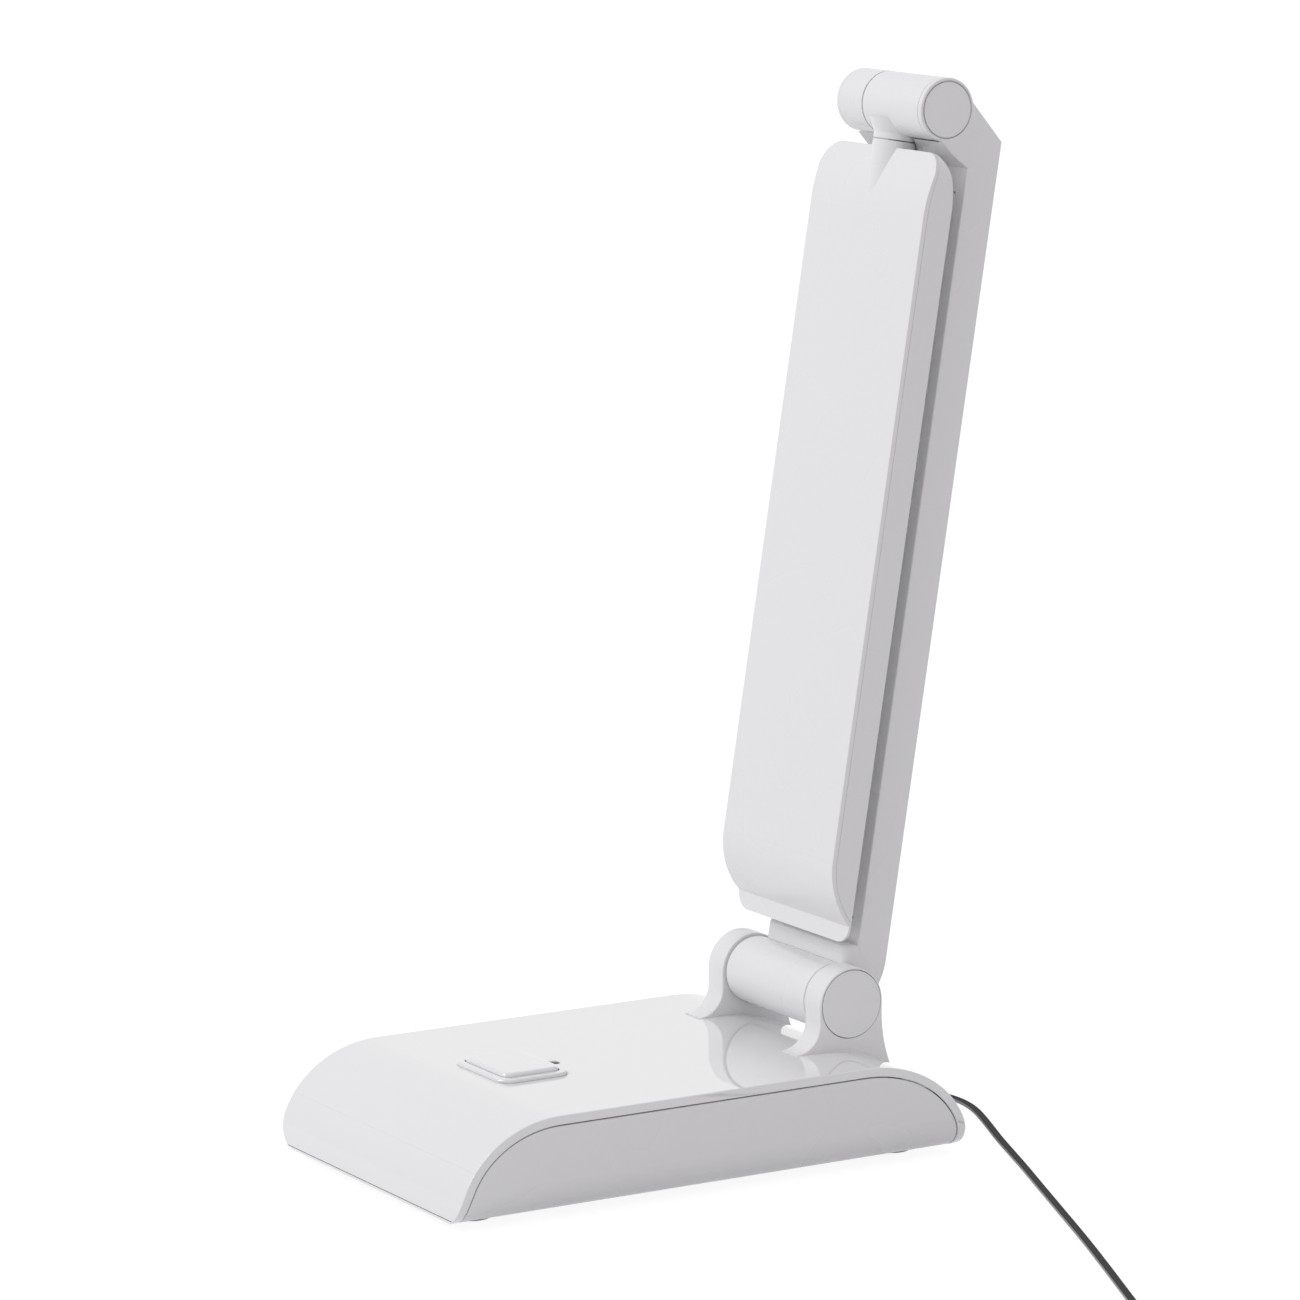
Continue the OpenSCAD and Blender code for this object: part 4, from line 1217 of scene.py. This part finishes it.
def cord_tube(name, path):
    """Sweeps the section along the path, kept flat, with a map round and along it."""
    section = flat_section()
    n = len(section)
    verts, run = [], 0.0
    runs = []
    for i, p in enumerate(path):
        way = (path[min(i + 1, len(path) - 1)] - path[max(i - 1, 0)]).normalized()
        if i == 0:
            way = Vector((0, 1, 0))
        side = Vector((-way.y, way.x, 0)).normalized()
        up = side.cross(way) * -1
        if i:
            run += (p - path[i - 1]).length
        runs.append(run)
        verts += [p + side * a + up * b for a, b in section]
    faces = []
    for i in range(len(path) - 1):
        for j in range(n):
            k = (j + 1) % n
            faces.append((i * n + j, i * n + k, (i + 1) * n + k, (i + 1) * n + j))
    last = (len(path) - 1) * n
    faces.append(tuple(reversed(range(n))))
    faces.append(tuple(last + j for j in range(n)))
    mesh = bpy.data.meshes.new(name)
    mesh.from_pydata(verts, [], faces)
    around = mesh.uv_layers.new(name="around")
    for face in mesh.polygons:
        for corner, vert in zip(face.loop_indices, face.vertices):
            j = vert % n
            seam = len(face.vertices) == 4 and j == 0 and max(v % n for v in face.vertices) == n - 1
            around.data[corner].uv = ((n if seam else j) / n, runs[vert // n] / 0.01)
    obj = bpy.data.objects.new(name, mesh)
    bpy.context.scene.collection.objects.link(obj)
    hold(obj)
    bpy.ops.object.mode_set(mode="EDIT")
    point_outwards()
    bpy.ops.object.shade_smooth_by_angle(angle=math.radians(50))
    return obj


def cut_rings(count, start, radius, taper, width, lift, depth):
    """The profile of a sleeve's cut rings, in millimetres, each with a groove behind it."""
    points = []
    for i in range(count):
        a = (start + 2.1 * i) * MM
        r = (radius + taper * i) * MM
        near, far = a + (width + 0.1) * MM, a + (width + 0.7) * MM
        groove = r - depth * MM
        points += [(a, r), (a + width * MM, r + lift * MM), (near, groove), (far, groove)]
    return points


class LAMP_OT_cord(bpy.types.Operator):
    """Lay the cord, its coil and the plug"""

    bl_idname = "lamp.cord"
    bl_label = "Cord and plug"

    def execute(self, context):
        path, away = cord_path()
        lead = cord_tube("cord", path)
        jacket = finish("cord_jacket", cord_finish)
        place_piece(lead, "base", jacket, "dark_flex", "cord_tube", "cord_coil", "cord_tail")
        dark = finish("dark_rubber", soft_rubber, (0.03, 0.03, 0.032))
        plug = self.plug(path[-1], away)
        black = finish("plug_black", moulded, (0.02, 0.02, 0.021), 0.4, 0.06, 0.2)
        place_piece(plug, "base", black, "black_plastic", "plug_body")
        self.grommet(dark)
        return {"FINISHED"}

    def plug(self, end, away):
        """The plug's moulded body with its relief, drawn along x and then turned to the tail."""
        relief, body = 9 * MM, 23 * MM
        half_w, half_h = 7.75 * MM, 3.9 * MM
        notch_in, notch_out, notch_h = 7.35 * MM, 9 * MM, 2.4 * MM
        grip = block("plug", (relief, -half_w, -half_h), (relief + body, half_w, half_h))
        bevel_where(grip, runs_along(0), 2 * MM)
        bevel_where(grip, lies_across(0), 0.8 * MM, 3)
        for i in range(4):
            x = relief + (6 + 2.4 * i) * MM
            for low_y, high_y in ((-notch_out, -notch_in), (notch_in, notch_out)):
                low, high = (x, low_y, -notch_h), (x + 1.1 * MM, high_y, notch_h)
                join_cut(grip, block("grip_notch", low, high))
        profile = [(0, 0), (0, 1.7 * MM)]
        profile += cut_rings(4, 0.8, 1.95, 0.12, 1.2, 0.05, 0.35)
        profile += [(relief + MM, 2.5 * MM), (relief + MM, 0)]
        join_cut(grip, turned("plug_relief", (0, 0, 0), profile, sides=40), "UNION")
        soften(grip, 0)
        hold(grip)
        grip.location = end
        grip.rotation_euler = (0, 0, math.atan2(away.y, away.x))
        apply_place()
        return grip

    def grommet(self, dark):
        """The strain relief: a tapered sleeve with cut rings, and its flange on the cover."""
        reach = 14 * MM
        wall = GROMMET_HIGH[1] - reach
        inner = GROMMET_LOW[1] - wall
        profile = [(inner, 0), (inner, 3.4 * MM), (0.2 * MM, 3.4 * MM), (0.2 * MM, 4.2 * MM)]
        profile += [(1.3 * MM, 4.2 * MM), (1.6 * MM, 3.9 * MM), (1.6 * MM, 2.9 * MM)]
        profile += cut_rings(5, 2.4, 2.85, -0.14, 1.3, -0.08, 0.4)
        profile += [(13.6 * MM, 2.05 * MM), (reach, 1.85 * MM), (reach, 0)]
        sleeve = turned("strain_relief", (EXIT.x, wall, EXIT.z), profile, "y", 48)
        soften(sleeve, 0)
        place_piece(sleeve, "base", dark, "dark_flex", "cord_grommet")


# What stays of the frame gets its finish


class LAMP_OT_frame_finishes(bpy.types.Operator):
    """Give the frame's remaining pieces their finishes"""

    bl_idname = "lamp.frame_finishes"
    bl_label = "Frame finishes"

    def execute(self, context):
        shell, dark = tuple(finishes().shell), (0.025, 0.025, 0.027)
        shafts = "ballast_plate hinge_shaft arm_stiffener top_shaft swivel_pin"
        dress = (
            ("base_bottom", "white_plain", moulded, shell, 0.38, 0.05, 0.02, 0.12),
            (shafts, "steel", metal, (0.56, 0.57, 0.58), 0.35),
            ("base_screws hinge_washers plug_shell", "plated", metal, (0.7, 0.7, 0.69), 0.22),
            ("control_board", "board_green", board, (0.02, 0.16, 0.06)),
            ("led_board", "board_white", board, (0.75, 0.76, 0.76)),
            ("switch_body switch_plunger", "switch_black", moulded, dark, 0.35, 0.05, 0.2),
            ("indicator_lamp", "lamp_clear", moulded, (0.3, 0.42, 0.6), 0.1, 0.03),
            ("leds", "phosphor", moulded, (0.72, 0.6, 0.16), 0.3, 0.05, 0.06),
            ("plug_tongue", "tongue_white", moulded, (0.72, 0.72, 0.72), 0.3),
            ("rubber_feet", "feet_rubber", soft_rubber, (0.55, 0.55, 0.56)),
            ("arm_wire coil_tie", "wire_dark", soft_rubber, (0.03, 0.03, 0.032)),
        )
        for nodes, *made in dress:
            material = finish(*made)
            for node in nodes.split():
                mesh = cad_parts[node].data
                mesh.materials.clear()
                mesh.materials.append(material)
        return {"FINISHED"}


# Stage

CAMERA_PLACE = (1.5745, -0.9629, 0.4935)
CAMERA_AZIMUTH = 58.73
CAMERA_PITCH = 10.07
CAMERA_LENS = 160.83
LIGHT_PLACE = Vector((-0.9, -1.8, 1.8))
LIGHT_AIM = Vector((0, 0, 0.12))
LIGHT_SIZE = 1.6
LIGHT_POWER = 24.5


def add_camera():
    start()
    bpy.ops.object.camera_add(
        location=CAMERA_PLACE,
        rotation=(math.radians(90 - CAMERA_PITCH), 0, math.radians(CAMERA_AZIMUTH)),
    )
    obj = bpy.context.object
    obj.name = "view"
    obj.data.lens = CAMERA_LENS
    obj.data.sensor_width = 36
    obj.data.clip_end = 50
    bpy.context.scene.camera = obj


def add_light():
    start()
    turn = (LIGHT_AIM - LIGHT_PLACE).to_track_quat("-Z", "Y").to_euler()
    bpy.ops.object.light_add(type="AREA", location=LIGHT_PLACE, rotation=turn)
    obj = bpy.context.object
    obj.name = "key"
    obj.data.size = LIGHT_SIZE
    obj.data.energy = LIGHT_POWER


def show_by_ray(tree, lighting, seen, output):
    """Lights with one shader, and shows the other to rays from the camera, gloss and glass."""
    rays = tree.nodes.new("ShaderNodeLightPath").outputs
    two = add(tree, "ShaderNodeMath", {0: rays["Is Camera Ray"], 1: rays["Is Glossy Ray"]})
    two.operation = "MAXIMUM"
    three = {0: two.outputs[0], 1: rays["Is Transmission Ray"]}
    either = add(tree, "ShaderNodeMath", three)
    either.operation = "MAXIMUM"
    mixed = {0: either.outputs[0], 1: lighting.outputs[0], 2: seen.outputs[0]}
    choose = add(tree, "ShaderNodeMixShader", mixed)
    feed(tree, output, {"Surface": choose.outputs[0]})


class LAMP_OT_stage(bpy.types.Operator):
    """Set up the floor, the light, the world and the camera"""

    bl_idname = "lamp.stage"
    bl_label = "Stage"

    def execute(self, context):
        add_camera()
        start()
        bpy.ops.mesh.primitive_plane_add(size=60)
        floor = settle("floor")
        mat = bpy.data.materials.new("floor_white")
        mat.use_nodes = True
        tree = mat.node_tree
        tree.nodes.remove(tree.nodes["Principled BSDF"])
        plain = add(tree, "ShaderNodeBsdfDiffuse", {"Color": grey(0.8)})
        shade = add(tree, "ShaderNodeBsdfDiffuse", {"Color": grey(0.22)})
        glow = add(tree, "ShaderNodeEmission", {"Color": grey(1), "Strength": 0.9})
        lit = add(tree, "ShaderNodeAddShader", {0: shade.outputs[0], 1: glow.outputs[0]})
        show_by_ray(tree, plain, lit, tree.nodes["Material Output"])
        floor.data.materials.append(mat)

        world = bpy.data.worlds.new("studio")
        context.scene.world = world
        world.use_nodes = True
        tree = world.node_tree
        values = {"Color": (1, 0.98, 1, 1), "Strength": 0.625}
        soft = feed(tree, tree.nodes["Background"], values)
        white = add(tree, "ShaderNodeBackground", {"Color": grey(1), "Strength": 1.0})
        show_by_ray(tree, soft, white, tree.nodes["World Output"])

        add_light()
        context.scene.view_settings.view_transform = "Standard"
        return {"FINISHED"}


STEPS = (
    LAMP_OT_stage,
    LAMP_OT_cord,
    LAMP_OT_base_cover,
    LAMP_OT_side_panels,
    LAMP_OT_button,
    LAMP_OT_ears,
    LAMP_OT_arm,
    LAMP_OT_top_caps,
    LAMP_OT_head,
    LAMP_OT_neck,
    LAMP_OT_frame_finishes,
)


class LAMP_PT_panel(bpy.types.Panel):
    """Lists the lamp's sizes, finishes and building steps"""

    bl_label = "Desk lamp"
    bl_idname = "LAMP_PT_panel"
    bl_space_type = "VIEW_3D"
    bl_region_type = "UI"
    bl_category = "Lamp"

    def draw(self, context):
        for group in (context.scene.lamp_sizes, context.scene.lamp_finishes):
            box = self.layout.box()
            for key in group.__annotations__:
                box.prop(group, key)
        for step in STEPS:
            self.layout.operator(step.bl_idname)


CLASSES = (LampSizes, LampFinishes, *STEPS, LAMP_PT_panel)


def register():
    for cls in CLASSES:
        bpy.utils.register_class(cls)
    bpy.types.Scene.lamp_sizes = PointerProperty(type=LampSizes)
    bpy.types.Scene.lamp_finishes = PointerProperty(type=LampFinishes)


def unregister():
    del bpy.types.Scene.lamp_finishes
    del bpy.types.Scene.lamp_sizes
    for cls in reversed(CLASSES):
        bpy.utils.unregister_class(cls)


def main():
    register()
    bpy.ops.lamp.stage()
    bpy.ops.lamp.cord()
    bpy.ops.lamp.base_cover()
    bpy.ops.lamp.side_panels()
    bpy.ops.lamp.button()
    bpy.ops.lamp.ears()
    bpy.ops.lamp.arm()
    bpy.ops.lamp.top_caps()
    bpy.ops.lamp.head()
    bpy.ops.lamp.neck()
    bpy.ops.lamp.frame_finishes()
    start()


if __name__ == "__main__":
    main()
